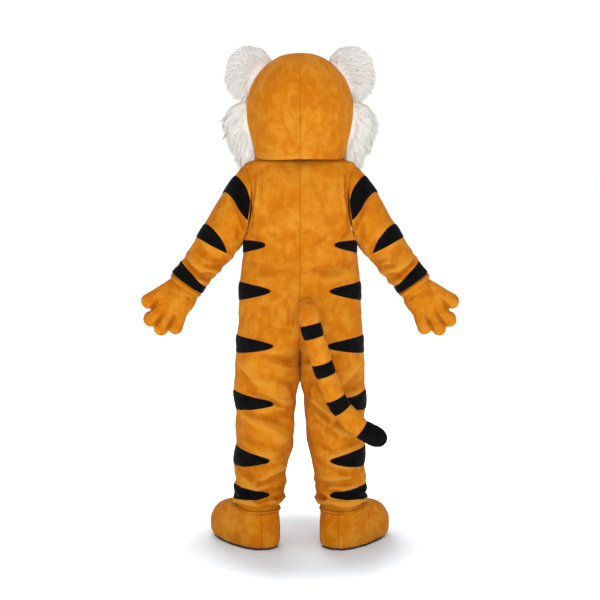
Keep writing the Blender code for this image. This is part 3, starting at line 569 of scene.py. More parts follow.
# x = centre + width cos a, y = depth sin a, z = height + lift sin a
def suitForm(back):
    def form(height, share):
        centre, width, depth, lift, first, last = suitSection(height, back)
        angle = sectionAngle(share, first, last)
        x = centre + width * np.cos(angle)
        y = depth * np.sin(angle)
        z = height + (0 if back else 1) * lift * np.sin(angle)
        return np.stack([x, y if back else -y, z], axis=-1)
    return form


# folds, lumps of the worn cloth, rings of slack down the legs, grooves at the seams and the hem's roll
def suitRelief(back, side):
    def relief(points):
        x, y, z = points[..., 0], points[..., 1], points[..., 2]
        own = mirrored(points, side)
        facing = ease(-0.01, 0.05, y if back else -y)
        seed = 7 + 2 * back + (side > 0)
        tables = [suit["foldsBehind"], suit["foldsLeftBehind" if side > 0 else "foldsRightBehind"]]
        if not back:
            tables = [suit["foldsFront"]]
        tables += [scattered(26, 0.22, 0.74, 0.23, seed), scattered(9, 0.82, 1.44, 0.2, seed + 10)]
        total = folds(points, np.concatenate(tables)) * (0.25 + 0.75 * facing)
        total = total + folds(points, suit["foldsAnkle"]) + lumps(own, suit["lumps"])
        thighs = bell(x, 0.03) * ease(0.6, 0.67, z) * ease(0.8, 0.76, z)
        rings = ease(0.8, 0.55, z) * waves(own * np.array((0.45, 0.45, 1.0)), 0.07, 23)
        ankle = ease(0.33, 0.22, z) * waves(own * np.array((0.7, 0.7, 1.0)), 0.038, 24)
        total = total + 0.0035 * thighs + 0.0032 * rings + 0.0042 * ankle
        total = total - 0.0011 * bell(x, 0.003) * ease(0.72, 0.8, z) - 0.0018 * bell(y, 0.003)
        scallop = 0.004 * waves(own, 0.06, 25)
        hem = 0.0045 * bell(z - 0.186 - scallop, 0.009) - 0.005 * bell(z - 0.203 - scallop, 0.0048)
        return total + hem - 0.002 * ease(1.5, 1.512, z)
    return relief


# the panel of a side seen from outside: points of the dressed surface, normals and relief
def suitSurface(back, side, height, share, lift=0.0):
    levels, form = suit["levels"], suitForm(back)
    points, normals, relief = skin(
        form, height, share, suitRelief(back, side), lift,
        limitU=(levels[0, 0], levels[-1, 0]), limitV=(0.0, 1.0),
    )
    legs = np.array((0.1, 0, 0)) * (points[..., 2:] < 0.8)
    sign = np.sign((normals * (points - legs) * (1, 1, 0)).sum())
    touching = (share > 0.999) & (points[..., 0] < 0.004)
    points = pushed(points, normals, relief, sign)
    # the middle edge stays on the middle seam wherever the two sides touch
    points[..., 0] = np.where(touching, 0, np.maximum(points[..., 0], 0))
    return points, sign * normals, relief


for panelName, back in (("back", True), ("front", False)):
    heights, shares = spread(
        np.linspace(suit["hem"], suit["levels"][-1, 0], suit["rows"]), np.linspace(0, 1, suit["columns"])
    )
    limit = np.maximum if back else np.minimum
    for sideName, side in sides:
        points, outward, napAndFoldShade = suitSurface(back, side, heights, shares)
        points[..., 1] = limit(points[..., 1], 0)
        # the relief height also sets painted shade in the folds and seams and painted highlight on their ridges
        dress(
            f"suit_{panelName}_{sideName}", "cloth", "orange", side, points, outward, thick=suit["thick"],
            napAndFoldShade=napAndFoldShade, cut=cutOf(suitForm(back)(heights, shares)),
        )
print("stage: suit")

bodyStripes = {
    "rows": 64, "columns": 20, "thick": 0.0012, "height": 0.0042, "blunt": 0.0085, "inset": 0.008,
    # top at the seam, bottom at the seam, tip's height, tip's distance from the middle
    "table": [
        (1.19, 1.138, 1.173, 0.129), (1.032, 0.958, 1.002, 0.11), (0.828, 0.757, 0.795, 0.099),
        (0.614, 0.538, 0.572, 0.099), (0.4, 0.318, 0.352, 0.114), (0.25, 0.19, 0.217, 0.114),
    ],
}


# a stripe's lift over the cloth: flat on top, rounded down at its edges and tips
def stripeLift(across, reach, height):
    edge = np.clip(1 - np.abs(across) ** 5, 0, 1) ** 0.5
    tip = np.clip((1 - reach) / 0.06, 0, 1) ** 0.5
    return height * edge * (0.3 + 0.7 * tip) - 0.0008


# height = line between its ends +- (half (1 - reach^1.8) + blunt tip) * across, on both panels
for number, (top, bottom, tipHeight, tipX) in enumerate(bodyStripes["table"], 1):
    base = (top + bottom) / 2
    tries = np.linspace(0, 1, 400)
    centre, width, depth, lift, first, last = suitSection(np.array(tipHeight), True)
    tipAngle = np.arccos((tipX - centre) / width)
    tip = float(np.interp(tipAngle, sectionAngle(tries, first, last), tries))
    run = np.linspace(-1, 1, bodyStripes["rows"])
    run = np.sign(run) * np.abs(run) ** 0.9
    reach = np.abs(run)[:, None]
    across = np.linspace(-1, 1, bodyStripes["columns"])[None, :]
    blunt = bodyStripes["blunt"] * np.sqrt(1 - np.clip(reach, 0, 0.9999) ** 12)
    half = ((top - bottom) / 2 - bodyStripes["inset"]) * (1 - reach**1.8) + blunt
    height = base + (tipHeight - base) * reach + half * across
    share = reach * tip + 0 * height
    lift = stripeLift(across, reach, bodyStripes["height"])
    for sideName, side in sides:
        behind, outBehind, _ = suitSurface(True, side, height, share, lift)
        ahead, outAhead, _ = suitSurface(False, side, height, share, lift)
        isBehind = (run >= 0)[:, None, None]
        points = np.where(isBehind, behind, ahead)
        outward = np.where(isBehind, outBehind, outAhead)
        dress(
            f"body_stripe_{number}_{sideName}", "plush", "black", side, points, outward,
            thick=bodyStripes["thick"], cut=cutOf(points), rests=[f"suit_back_{sideName}_cloth"],
        )
print("stage: body stripes")


# sleeves
sleeve = {
    "thick": 0.003, "rows": 140, "columns": 84, "cuffRows": 18, "lumps": ((0.0013, 0.085, 31), (0.0006, 0.04, 32)),
    # outer x, outer z, inner x, inner z, half depth, forward
    "rings": millimetres(
        (250, 1433, 223.5, 1165, 91, 1), (300, 1361, 235, 1149, 88, 4), (339, 1294, 252, 1129, 84, 8),
        (376, 1234, 274, 1105, 80, 13), (413, 1174, 302, 1074, 76, 18), (448, 1122, 336, 1038, 73, 23),
        (493.8, 1060, 381.2, 980, 70, 28),
    ),
    "cuff": millimetres(
        (494.5, 1058.8, 382, 978.8, 69.9, 28.2), (500.5, 1044, 392.7, 967, 67, 30),
    ),
    # start x, start z, end x, end z, width, depth
    "folds": millimetres(
        (262, 1350, 205, 1240, 9, -5.2), (240, 1340, 200, 1265, 9, 3.6), (214, 1272, 200, 1232, 7, -5),
        (235, 1250, 222, 1190, 10, -4), (372, 1190, 330, 1150, 14, 3.6), (395, 1160, 350, 1118, 11, -4),
        (445, 1108, 352, 1040, 9, -8), (430, 1124, 365, 1082, 11, 6), (358, 1096, 304, 1080, 8, -6),
        (350, 1078, 300, 1058, 9, 5.2), (383, 1050, 336, 1056, 7, -6.2), (400, 1036, 350, 1034, 9, 4.6),
        (410, 1100, 372, 1064, 8, 4.4), (330, 1120, 290, 1104, 10, -3.6), (436, 1080, 396, 1050, 8, -4),
        (320, 1230, 270, 1190, 16, 2.6), (290, 1200, 262, 1150, 12, -3.2),
    ),
}


# x and z = middle + reach cos a, y = half depth sin a - forward
def ringOf(values, angle, swell=1.0):
    outX, outZ, inX, inZ, depth, forward = values
    up, around = np.cos(angle) * swell, np.sin(angle) * swell
    return np.stack([
        (outX + inX) / 2 + (outX - inX) / 2 * up, depth * around - forward,
        (outZ + inZ) / 2 + (outZ - inZ) / 2 * up,
    ], axis=-1)


# all the columns of a table at a row number
def rowOf(table, at):
    return [curve(np.arange(len(table)), table[:, k], at) for k in range(table.shape[1])]


# row 0 is the armhole, on the suit's rim, and row 1 the first ring
def sleeveForm(row, angle):
    rim = suit["rim"]
    ring = ringOf(rowOf(sleeve["rings"], np.maximum(row, 1) - 1), angle)
    z = suit["armholeMid"] + suit["armholeHalf"] * np.cos(angle)
    x = curve(rim[:, 0], rim[:, 1], z) + 2 * gap
    hole = np.stack([x, suit["armholeDepth"] * np.sin(angle), z], axis=-1)
    share = np.clip(row, 0, 1)[..., None]
    return hole * (1 - share) + ring * share


# folds, lumps, and rings of slack that deepen down the forearm
def sleeveRelief(side):
    def relief(points):
        y = points[..., 1]
        total = folds(points, sleeve["folds"]) * (0.45 + 0.55 * ease(-0.05, 0.04, y))
        total = total + lumps(mirrored(points, side), sleeve["lumps"])
        down = points @ np.array((0.66, 0.0, -0.75))
        slack = waves(np.stack([down, 0.35 * y, 0 * y], axis=-1), 0.042, 33 + side)
        return total + 0.0034 * ease(1.22, 1.08, points[..., 2]) * slack
    return relief


def sleeveSurface(side, row, angle, lift=0.0):
    points, normals, height = skin(
        sleeveForm, row, angle, sleeveRelief(side), lift, stepU=0.01, stepV=0.01, limitU=(0.0, 7.0),
    )
    middle = sleeveForm(row, angle + math.pi)
    sign = np.sign((normals * (points - middle)).sum())
    seam = 1 - bell(np.clip(row, 0, 7), 0.05)
    height = height * seam - 0.0015 * (1 - seam)
    return pushed(points, normals, height, sign), sign * normals, height


sleeveRows, sleeveAngles = spread(np.linspace(0, 7, sleeve["rows"]), allRound(sleeve["columns"]))
for sideName, side in sides:
    points, outward, napAndFoldShade = sleeveSurface(side, sleeveRows, sleeveAngles)
    # the relief height also sets painted shade in the sleeve's folds and painted highlight on their ridges
    dress(
        f"sleeve_{sideName}", "cloth", "orange", side, points, outward, closed=True,
        thick=sleeve["thick"], napAndFoldShade=napAndFoldShade, cut=cutOf(points, True),
    )


# the cuff: the last ring carried on, swelling a little where it is turned in
def cuffForm(row, angle):
    first, last = sleeve["cuff"]
    swell = 1 + 0.035 * np.sin(math.pi * np.clip(row, 0, 1)) ** 0.6 - 0.02 * row
    return ringOf([first[k] + (last[k] - first[k]) * row for k in range(6)], angle, swell)


cuffRows, cuffAngles = spread(np.linspace(0, 1.12, sleeve["cuffRows"]), allRound(sleeve["columns"]))
cuffPoints = cuffForm(cuffRows, cuffAngles)
for sideName, side in sides:
    wavy = cuffPoints.copy()
    wavy[..., 2] += 0.0014 * waves(cuffPoints, 0.05, 40 + side)
    dress(
        f"cuff_{sideName}", "cloth", "orange", side, wavy, cuffPoints - cuffPoints.mean(axis=1, keepdims=True),
        closed=True, thick=sleeve["thick"], cut=cutOf(cuffPoints, True),
    )

sleeveStripes = {
    "rows": 76, "columns": 20, "around": 84, "thick": 0.0012, "height": 0.0042,
    # tip angle in degrees, then the start and end row by reach from the outer edge to the tip
    "table": [
        (113, lambda r: np.maximum(1.16 * (1 - r / 0.84), 0.1), lambda r: 0.1 + 1.74 * (1 - r) ** 0.6),
        (
            132, lambda r: 3.84 - 0.42 * r - 0.24 * np.sin(np.pi * r**1.6),
            lambda r: 3.74 - 0.24 * r + 0.74 * (1 - r**2.0),
        ),
    ],
    # start row under the arm, its rise at the outer edge, end row
    "ring": (6.58, 0.37, 6.97),
}


def sleeveStripe(number, row, angle, reach, across, closed):
    lift = stripeLift(across, reach, sleeveStripes["height"])
    for sideName, side in sides:
        points, outward, _ = sleeveSurface(side, row, angle, lift)
        dress(
            f"sleeve_stripe_{number}_{sideName}", "plush", "black", side, points, outward, closed=closed,
            thick=sleeveStripes["thick"], cut=cutOf(points, closed), rests=[f"sleeve_{sideName}_cloth"],
        )


for number, (tip, start, end) in enumerate(sleeveStripes["table"], 1):
    run, across = spread(np.linspace(-1, 1, sleeveStripes["rows"]), np.linspace(-1, 1, sleeveStripes["columns"]))
    reach = np.abs(run)
    middle, half = (start(reach) + end(reach)) / 2, (end(reach) - start(reach)) / 2
    half = half * (1 - reach**10) + 0.12 * np.sqrt(1 - np.clip(reach, 0, 0.9999) ** 12)
    sleeveStripe(number, np.maximum(middle + half * across, 0.02), run * math.radians(tip), reach, across, False)
# the third stripe goes all round, narrower under the arm
across, turns = spread(np.linspace(-1, 1, sleeveStripes["columns"]), allRound(sleeveStripes["around"]))
startRow, rise, endRow = sleeveStripes["ring"]
startRow = startRow - rise * (0.5 + 0.5 * np.cos(turns))
sleeveStripe(3, startRow + (endRow - startRow) * (across + 1) / 2, turns, 0 * across, across, True)
print("stage: sleeves")


# tail
tail = {
    "radius": 0.039, "sides": 56, "rows": 24, "endRows": 40, "lumps": ((0.0012, 0.06, 51), (0.0006, 0.03, 52)),
    "path": millimetres(
        (-28, 150, 944), (-29, 183, 934), (-35, 199, 897), (-52, 200, 836), (-81, 194, 741), (-97, 190, 694),
        (-132, 186, 607), (-159, 184, 562), (-220, 182, 497), (-324, 182, 439),
    ),
    # heights on the middle line where the colour changes
    "changes": [0.885, 0.836, 0.741, 0.694, 0.607, 0.562, 0.49],
}
tailRun = np.concatenate([[0], np.cumsum(np.linalg.norm(np.diff(tail["path"], axis=0), axis=1))])
fine = np.linspace(0, tailRun[-1], 500)
tailLine = np.stack([curve(tailRun, tail["path"][:, k], fine) for k in range(3)], axis=1)
tailSteps = np.linspace(0, 1, 500)
tailChanges = [0.012] + [float(np.interp(-h, -tailLine[:, 2], tailSteps)) for h in tail["changes"]] + [1.0]


# point = line(t) + radius (side cos a + other sin a), square to the line
def tailTube(share, radius):
    centre = np.stack([np.interp(share, tailSteps, tailLine[:, k]) for k in range(3)], axis=1)
    slopes = np.gradient(tailLine, axis=0)
    tangent = np.stack([np.interp(share, tailSteps, slopes[:, k]) for k in range(3)], axis=1)
    tangent /= np.linalg.norm(tangent, axis=1, keepdims=True)
    side = np.cross((1.0, 0.0, 0.45) + 0 * tangent, tangent)
    side /= np.linalg.norm(side, axis=1, keepdims=True)
    other = np.cross(tangent, side)
    turn = allRound(tail["sides"])
    ring = side[:, None] * np.cos(turn)[:, None] + other[:, None] * np.sin(turn)[:, None]
    points = centre[:, None] + ring * radius[:, None, None]
    lump = lumps(points, tail["lumps"])
    full = (radius > 0.5 * tail["radius"])[:, None]
    return points + ring * (lump * full)[..., None]


for number in range(len(tailChanges) - 1):
    first, last = tailChanges[number], tailChanges[number + 1]
    isTip = number == len(tailChanges) - 2
    span = np.linspace(0, 1, tail["endRows" if number == 0 or isTip else "rows"])
    share = first + (last - first) * span
    edge = 0.0026 * np.exp(-(span * 12)) + (0 if isTip else 0.0026 * np.exp(-((1 - span) * 12)))
    puff = 0.001 * np.sin(math.pi * span)
    radius = tail["radius"] - edge + puff
    if isTip:
        radius = radius * np.sqrt(np.clip(1 - np.clip((span - 0.45) / 0.55, 0, 1) ** 2.2, 0.0006, 1))
    share = np.concatenate([[share[0]], share, [share[-1]]])
    radius = np.concatenate([[0.0002], radius, [0.0002]])
    points = tailTube(share, radius)
    look = "black" if number % 2 else "orange"
    kind = "ring" if number % 2 else "orange"
    dress(
        "tail_tip" if isTip else f"tail_{kind}_{number // 2 + 1}", "plush", look, 1, points,
        points - points.mean(axis=1, keepdims=True), closed=True, fill=0.8,
    )
print("stage: tail")


# head
head = {
    "thick": 0.008, "rows": 112, "lumps": ((0.0012, 0.11, 61), (0.0004, 0.05, 62)),
    # node, first and last angle in degrees, columns
    "panels": (
        ("head_back_left", 0, 90, 66), ("head_back_right", 90, 180, 66), ("head_front", 180, 360, 110),
    ),
    # height, half width, depth behind, depth in front
    "levels": millimetres(
        (1490, 148, 148, 144), (1491.5, 159, 158, 155), (1499, 166.2, 166, 162), (1541, 177, 180, 178),
        (1592, 190, 192, 192), (1649, 199, 200, 200), (1700, 200.5, 202, 202), (1752, 191, 198, 198),
        (1797, 170.5, 182, 182), (1842, 137, 149, 149), (1871, 102, 111, 111), (1888, 64, 70, 70),
        (1894.5, 24, 26, 26), (1895, 2, 2, 2),
    ),
}
headLevels = head["levels"]


# x = width cos a, y = depth sin a
def headForm(height, angle):
    width, behind, ahead = (curve(headLevels[:, 0], headLevels[:, k], height) for k in (1, 2, 3))
    depth = np.where(np.sin(angle) > 0, behind, ahead)
    return np.stack([width * np.cos(angle), depth * np.sin(angle), height + 0 * angle], axis=-1)


# lumps, a groove at the middle, dart and side seams, a raised welt ahead of the dart, a turned rim
def headRelief(points):
    x, y, z = points[..., 0], points[..., 1], points[..., 2]
    below = ease(1.83, 1.79, z)
    total = lumps(points, head["lumps"]) - 0.0009 * bell(x, 0.0026) * (y > 0)
    total = total - 0.0018 * bell(y - 0.074, 0.0032) * below - 0.0022 * bell(y, 0.0035)
    total = total + 0.0022 * ease(0.066, 0.05, y) * ease(-0.02, 0.01, y) * below
    total = total - 0.0016 * bell(z - 1.862 - 0.02 * x, 0.006) * (np.abs(x) < 0.11)
    return total - 0.003 * bell(z - headLevels[0, 0], 0.004)


# rows at even distances down the profile
profile = np.linspace(headLevels[0, 0], headLevels[-1, 0], 900)
profileRun = np.concatenate([[0], np.cumsum(np.hypot(
    np.diff(curve(headLevels[:, 0], headLevels[:, 1], profile)), np.diff(profile)
))])
headHeights = np.interp(np.linspace(0, profileRun[-1], head["rows"]), profileRun, profile)
for name, first, last, columns in head["panels"]:
    u, v = spread(headHeights, np.radians(np.linspace(first, last, columns)))
    points, normals, relief = skin(
        headForm, u, v, headRelief, stepU=5e-4, limitU=(headLevels[0, 0], headLevels[-1, 0])
    )
    sign = np.sign((normals * (points - np.array((0, 0, 1.66)))).sum())
    points = pushed(points, normals, relief, sign)
    # the relief height also sets painted shade in the head's grooves and painted highlight on its raised parts
    dress(name, "plush", "orange", 1, points, sign * normals, thick=head["thick"], napAndFoldShade=relief, cut=cutOf(points))
print("stage: head")


# fur
fur = {
    "ear": {"count": 13500, "locks": 900, "length": 0.03, "width": 0.0011, "clump": 0.22, "seed": 71},
    "ruff": {"count": 14500, "locks": 420, "length": 0.047, "width": 0.0014, "clump": 0.38, "seed": 72},
    "earCentre": (0.186, 1.836), "earReach": 0.074, "earDepth": 0.026, "earRoots": (1.722, 1.866),
    # root height, end x, end z, half depth
    "ruffTable": millimetres(
        (1714, 205, 1718, 12), (1692, 238, 1708, 24), (1652, 256, 1668, 32), (1612, 257, 1625, 36),
        (1576, 246, 1582, 36), (1541, 228, 1546, 30), (1508, 204, 1515, 16),
    ),
}


# inner line + (outer - inner) sin f, y = - half depth cos f; columns inner x, z, outer x, z, half depth
def lensForm(table):
    def form(row, turn):
        share = np.sin(turn)
        inX, inZ, outX, outZ, half = rowOf(table, row)
        return np.stack([inX + (outX - inX) * share, -half * np.cos(turn), inZ + (outZ - inZ) * share], axis=-1)
    return form


def headWidth(height):
    return curve(headLevels[:, 0], headLevels[:, 1], height)


# outward normals of a lens at rows u and turns v
def lensNormals(form, rows, u, v):
    a = form(np.clip(u + 0.02, 0, rows - 1), v) - form(np.clip(u - 0.02, 0, rows - 1), v)
    b = form(u, v + 0.02) - form(u, v - 0.02)
    normal = np.cross(a, b)
    normal /= np.maximum(np.linalg.norm(normal, axis=-1, keepdims=True), 1e-9)
    middle = form(u, np.full(np.shape(v), 0.35)) * (1, 0, 1)
    return normal * np.sign((normal * (form(u, v) - middle)).sum(axis=-1, keepdims=True))


# strands: root + length (way + droop), drawn to their lock's tip; a quad and a point each
def strands(form, rows, settings, flow, side):
    rng = np.random.default_rng(settings["seed"] + (5 if side > 0 else 0))
    count = settings["count"]
    u = rng.uniform(0.02, rows - 1.02, count)
    v = np.arccos(rng.uniform(-1, 1, count))
    v = 0.06 + (math.pi - 0.12) * v / math.pi
    root = form(u, v)
    normal = lensNormals(form, rows, u, v)
    locks = rng.choice(count, settings["locks"], replace=False)
    lock = np.linalg.norm(root[:, None, :] - root[locks][None, :, :], axis=2).argmin(axis=1)
    drift, reach = flow(root)
    size = settings["length"] * reach * (0.75 + 0.45 * rng.random(len(locks)))[lock]
    size = size * (0.8 + 0.35 * rng.random(count))
    lean = rng.normal(0, 0.14, (len(locks), 3))[lock] + rng.normal(0, 0.05, (count, 3))
    way = normal * 0.1 + drift + lean
    way /= np.linalg.norm(way, axis=1, keepdims=True)
    droop = np.array((0.1, 0.0, -0.26))
    tip = root + size[:, None] * (way + droop)
    tip = tip + (tip[locks][lock] - tip) * settings["clump"]
    mid = root + size[:, None] * (0.45 * way + 0.1 * droop) + (tip - root) * 0.06 + normal * 0.002
    across = np.cross(tip - root, normal + rng.normal(0, 0.35, (count, 3)))
    across /= np.maximum(np.linalg.norm(across, axis=1, keepdims=True), 1e-9)
    wide = settings["width"] * (0.7 + 0.6 * rng.random(count))[:, None]
    low = root - normal * 0.002
    points = np.stack([
        low - across * wide, low + across * wide, mid - across * wide * 0.8, mid + across * wide * 0.8, tip,
    ], axis=1)
    soft = normal + rng.normal(0, 0.12, (count, 3)) + np.array((0, 0, 0.15))
    return points, soft / np.linalg.norm(soft, axis=1, keepdims=True), rng.random(len(locks))[lock]


# a lens with its strands, as one mesh; a face that winds against its normal is turned over
def furPiece(name, form, rows, settings, flow, side):
    size = 44
    u, v = spread(np.linspace(0, rows - 1, size), np.linspace(0.02, math.pi - 0.02, size))
    hair, soft, tone = strands(form, rows, settings, flow, side)
    count = len(hair)
    start = size * size + 5 * np.arange(count)[:, None]
    points = mirrored(np.concatenate([form(u, v).reshape(-1, 3), hair.reshape(-1, 3)]), side)
    normals = mirrored(np.concatenate([
        lensNormals(form, rows, u, v).reshape(-1, 3), np.repeat(soft, 5, axis=0),
    ]), side)
    groups = []
    for corners in (gridFaces(size, size, False), start + np.array((0, 1, 3, 2)), start + np.array((2, 3, 4))):
        first, second, third = (points[corners[:, k]] for k in range(3))
        against = (np.cross(second - first, third - first) * normals[corners[:, 0]]).sum(axis=1) < 0
        groups += np.where(against[:, None], corners[:, ::-1], corners).tolist()
    mesh = bpy.data.meshes.new(name)
    mesh.from_pydata(points.tolist(), [], groups)
    along = np.concatenate([np.full(size * size, 0.35), np.tile((0.0, 0.0, 0.5, 0.5, 1.0), count)])
    shade = np.concatenate([np.full(size * size, 0.5), np.repeat(tone, 5)])
    corner = np.empty(len(mesh.loops), np.int32)
    mesh.loops.foreach_get("vertex_index", corner)
    layer = mesh.uv_layers.new(name="strand")
    layer.data.foreach_set("uv", np.stack([shade[corner], along[corner]], axis=1).astype(np.float32).ravel())
    mesh.materials.append(creamFur)
    return objectOf(name, mesh)


# ears: a lens between the head and an arc, fur flowing outward and down
low, high = fur["earRoots"]
earHeights = np.linspace(low, high, 8)
earRoot = headWidth(earHeights) - 0.004
earX, earZ = fur["earCentre"]
earTurn = np.linspace(
    math.atan2(low - earZ, earRoot[0] - earX) + 0.22, math.atan2(high - earZ, earRoot[-1] - earX) - 0.2, 8
)
earForm = lensForm(np.stack([
    earRoot, earHeights, earX + fur["earReach"] * np.cos(earTurn), earZ + fur["earReach"] * np.sin(earTurn),
    fur["earDepth"] * np.array((0.45, 0.8, 0.95, 1, 1, 0.95, 0.8, 0.45)),
], axis=1))


def earFlow(root):
    away = (root - np.array((0.125, 0, 1.795))) * (1, 0.5, 1)
    away /= np.linalg.norm(away, axis=1, keepdims=True)
    low = ease(1.86, 1.76, root[:, 2])
    away = away + np.stack([0.05 * low, 0 * low, -0.6 * low], axis=1)
    return away, 0.7 + 0.6 * low


# ruffs: a lens down each cheek, fur flowing down
ruffTable = fur["ruffTable"]
ruffForm = lensForm(np.column_stack([headWidth(ruffTable[:, 0]) - 0.004, ruffTable]))


def ruffFlow(root):
    high = ease(1.56, 1.7, root[:, 2])
    way = np.stack([0.15 + 0.75 * high, 0 * high, -0.95 + 0.1 * high], axis=1)
    return way, 1.0 + 0 * high


for sideName, side in sides:
    ear = furPiece(f"ear_{sideName}_fur", earForm, 8, fur["ear"], earFlow, side)
    handOver(ear, [f"ear_{sideName}"], "cream_fur", fill=0.7)
    ruff = furPiece(f"cheek_{sideName}_fur", ruffForm, 7, fur["ruff"], ruffFlow, side)
    handOver(ruff, [f"cheek_fur_{sideName}"], "cream_fur", fill=0.5)
print("stage: fur")


# face
face = {
    "rows": 26, "columns": 64,
    # centre x and z, radii across, forward and up, start ahead of the head, depth of the middle groove
    "muzzle": ((0, 1.612), (0.088, 0.056, 0.06), 0.005, 0.01),
    "nose": ((0, 1.64), (0.026, 0.016, 0.018), 0.0575, 0.0),
    "eye": ((0.072, 1.723), (0.03, 0.012, 0.038), 0.004, 0.0),
}


# y of the head's front
def faceSurface(x, z):
    width = curve(headLevels[:, 0], headLevels[:, 1], z)
    depth = curve(headLevels[:, 0], headLevels[:, 3], z)
    return -depth * np.sqrt(np.clip(1 - (x / width) ** 2, 0, 1))


# x, z = centre + radius sin f (cos a, sin a), y = face - base - swell cos f
def pad(name, settings, side, material):
    centre, radii, start, groove = settings
    f, a = spread(np.linspace(0.0, math.pi / 2, face["rows"]), allRound(face["columns"]))
    x = side * centre[0] + radii[0] * np.sin(f) * np.cos(a)
    z = centre[1] + radii[2] * np.sin(f) * np.sin(a)
    y = faceSurface(x, z) - start - radii[1] * np.cos(f)
    y = y + groove * bell(x, 0.006) * (z < centre[1] + 0.2 * radii[2])
    points = np.stack([x, y, z], axis=-1)
    back = points[-1:].copy()
    back[..., 1] += 0.006 + start * 0.8
    points = np.concatenate([points, back])
    return gridMesh(name, points, material, points * 0 + np.array((0, -1, 0)), closed=True)


muzzlePlush = plush(
    "cream plush",
    {"deep": tint(170, 160, 148), "dark": tint(196, 189, 179), "mid": tint(208, 202, 194),
     "light": tint(219, 215, 209), "mottle": 24, "streak": 60, "pile": 420, "bump": 0.5},
    {"weight": 0.1, "rough": 0.5, "tint": (1, 1, 1, 1)},
)
handOver(pad("muzzle_pad", face["muzzle"], 1, muzzlePlush), ["muzzle"], "cream_fur", fill=0.7)
handOver(pad("nose_pad", face["nose"], 1, nosePlastic), ["nose"], "nose")
for sideName, side in sides:
    eyeX, eyeZ = face["eye"][0]
    iris = eyeMaterial(f"eye {sideName}", (side * eyeX, eyeZ))
    handOver(pad(f"eye_{sideName}_dome", face["eye"], side, iris), [f"eye_{sideName}"], "eye")
print("stage: face")


# boots
boot = {
    "centre": (0.163, 0.01), "turn": 31.0, "sideSeam": 0.05, "heelSeam": math.radians(163), "thick": 0.003,
    "rows": 64, "bandRows": 36, "bandColumns": 84,
    # piece, first and last seam, columns
    "pieces": (
        ("vamp", "low", "high", 110), ("heel_outer", "high", "heel", 56), ("heel_inner", "heel", "round", 56),
    ),
    # height at heel, height at toe, heel reach, toe reach, heel half width, ball half width
    "levels": millimetres(
        (9, 9, 89, 274, 89, 103), (14, 14, 92.5, 280, 92.5, 107), (32, 30, 96, 288, 96, 112),
        (62, 64, 96, 288, 96, 113), (90, 100, 94, 270, 94, 109), (112, 132, 90, 232, 90, 101),
        (128, 153, 85, 175, 85, 92), (140.5, 161, 83, 100, 83, 83),
    ),
    "band": millimetres(
        (141, 161.5, 83, 100, 83, 83), (149, 164, 83, 92, 82, 82), (156, 169, 74, 76, 74, 74),
        (205, 215, 74, 75, 73, 73),
    ),
    "lumps": ((0.0016, 0.09, 81), (0.0006, 0.04, 82)),
}


def signedPower(values, power):
    return np.sign(values) * np.abs(values) ** power


# forward and aside from a rounded outline, turned by the toe-out about the heel's centre
def outlineForm(table):
    def form(row, angle):
        heelZ, toeZ, heel, toe, heelWide, ballWide = rowOf(table, row)
        forward = (toe - heel) / 2 + (toe + heel) / 2 * signedPower(np.cos(angle), 0.85)
        share = ease(0, 1, (forward + heel) / (toe + heel))
        aside = (heelWide + (ballWide - heelWide) * share) * signedPower(np.sin(angle), 0.85)
        turn = math.radians(boot["turn"])
        x = boot["centre"][0] + forward * math.sin(turn) + aside * math.cos(turn)
        y = boot["centre"][1] - forward * math.cos(turn) + aside * math.sin(turn)
        return np.stack([x, y, heelZ + (toeZ - heelZ) * share], axis=-1)
    return form


# angle at which the side seam stands on the outline
def seamAngle(row):
    heel, toe = rowOf(boot["levels"], row)[2:4]
    share = (boot["sideSeam"] - (toe - heel) / 2) / ((toe + heel) / 2)
    return np.arccos(signedPower(share, 1 / 0.85))


bootForm = outlineForm(boot["levels"])
bandForm = outlineForm(boot["band"])
bootRows = np.linspace(0, 7, boot["rows"])[:, None]


# one boot piece between two of its seams: lumps, a groove at each seam and at the ankle band
def bootPatch(node, first, last, columns, side):
    share = np.linspace(0, 1, columns)[None, :]
    seam = seamAngle(bootRows)
    bounds = {"low": -seam, "high": seam, "heel": boot["heelSeam"] + 0 * seam, "round": 2 * math.pi - seam}
    angle = bounds[first] + (bounds[last] - bounds[first]) * share
    points, normals, height = skin(
        bootForm, bootRows + 0 * angle, angle, lambda points: lumps(mirrored(points, side), boot["lumps"]),
        stepU=0.02, stepV=0.01, limitU=(0, 7),
    )
    sign = np.sign((normals * (points - np.array((0.19, -0.04, 0.05)))).sum())
    spanOf = np.linalg.norm(points[:, 1:] - points[:, :-1], axis=2).sum(axis=1)[:, None]
    edge = np.minimum(share, 1 - share) * spanOf
    height = height * ease(0, 0.012, edge) - 0.0019 * bell(edge, 0.0036) - 0.0035 * bell(bootRows - 7, 0.16)
    points = pushed(points, normals, height, sign)
    # the height also sets painted shade in the seam and ankle grooves and painted highlight on the lumps
    dress(
        node, "plush", "orange", side, points, sign * normals, thick=boot["thick"], napAndFoldShade=height, cut=cutOf(points)
    )


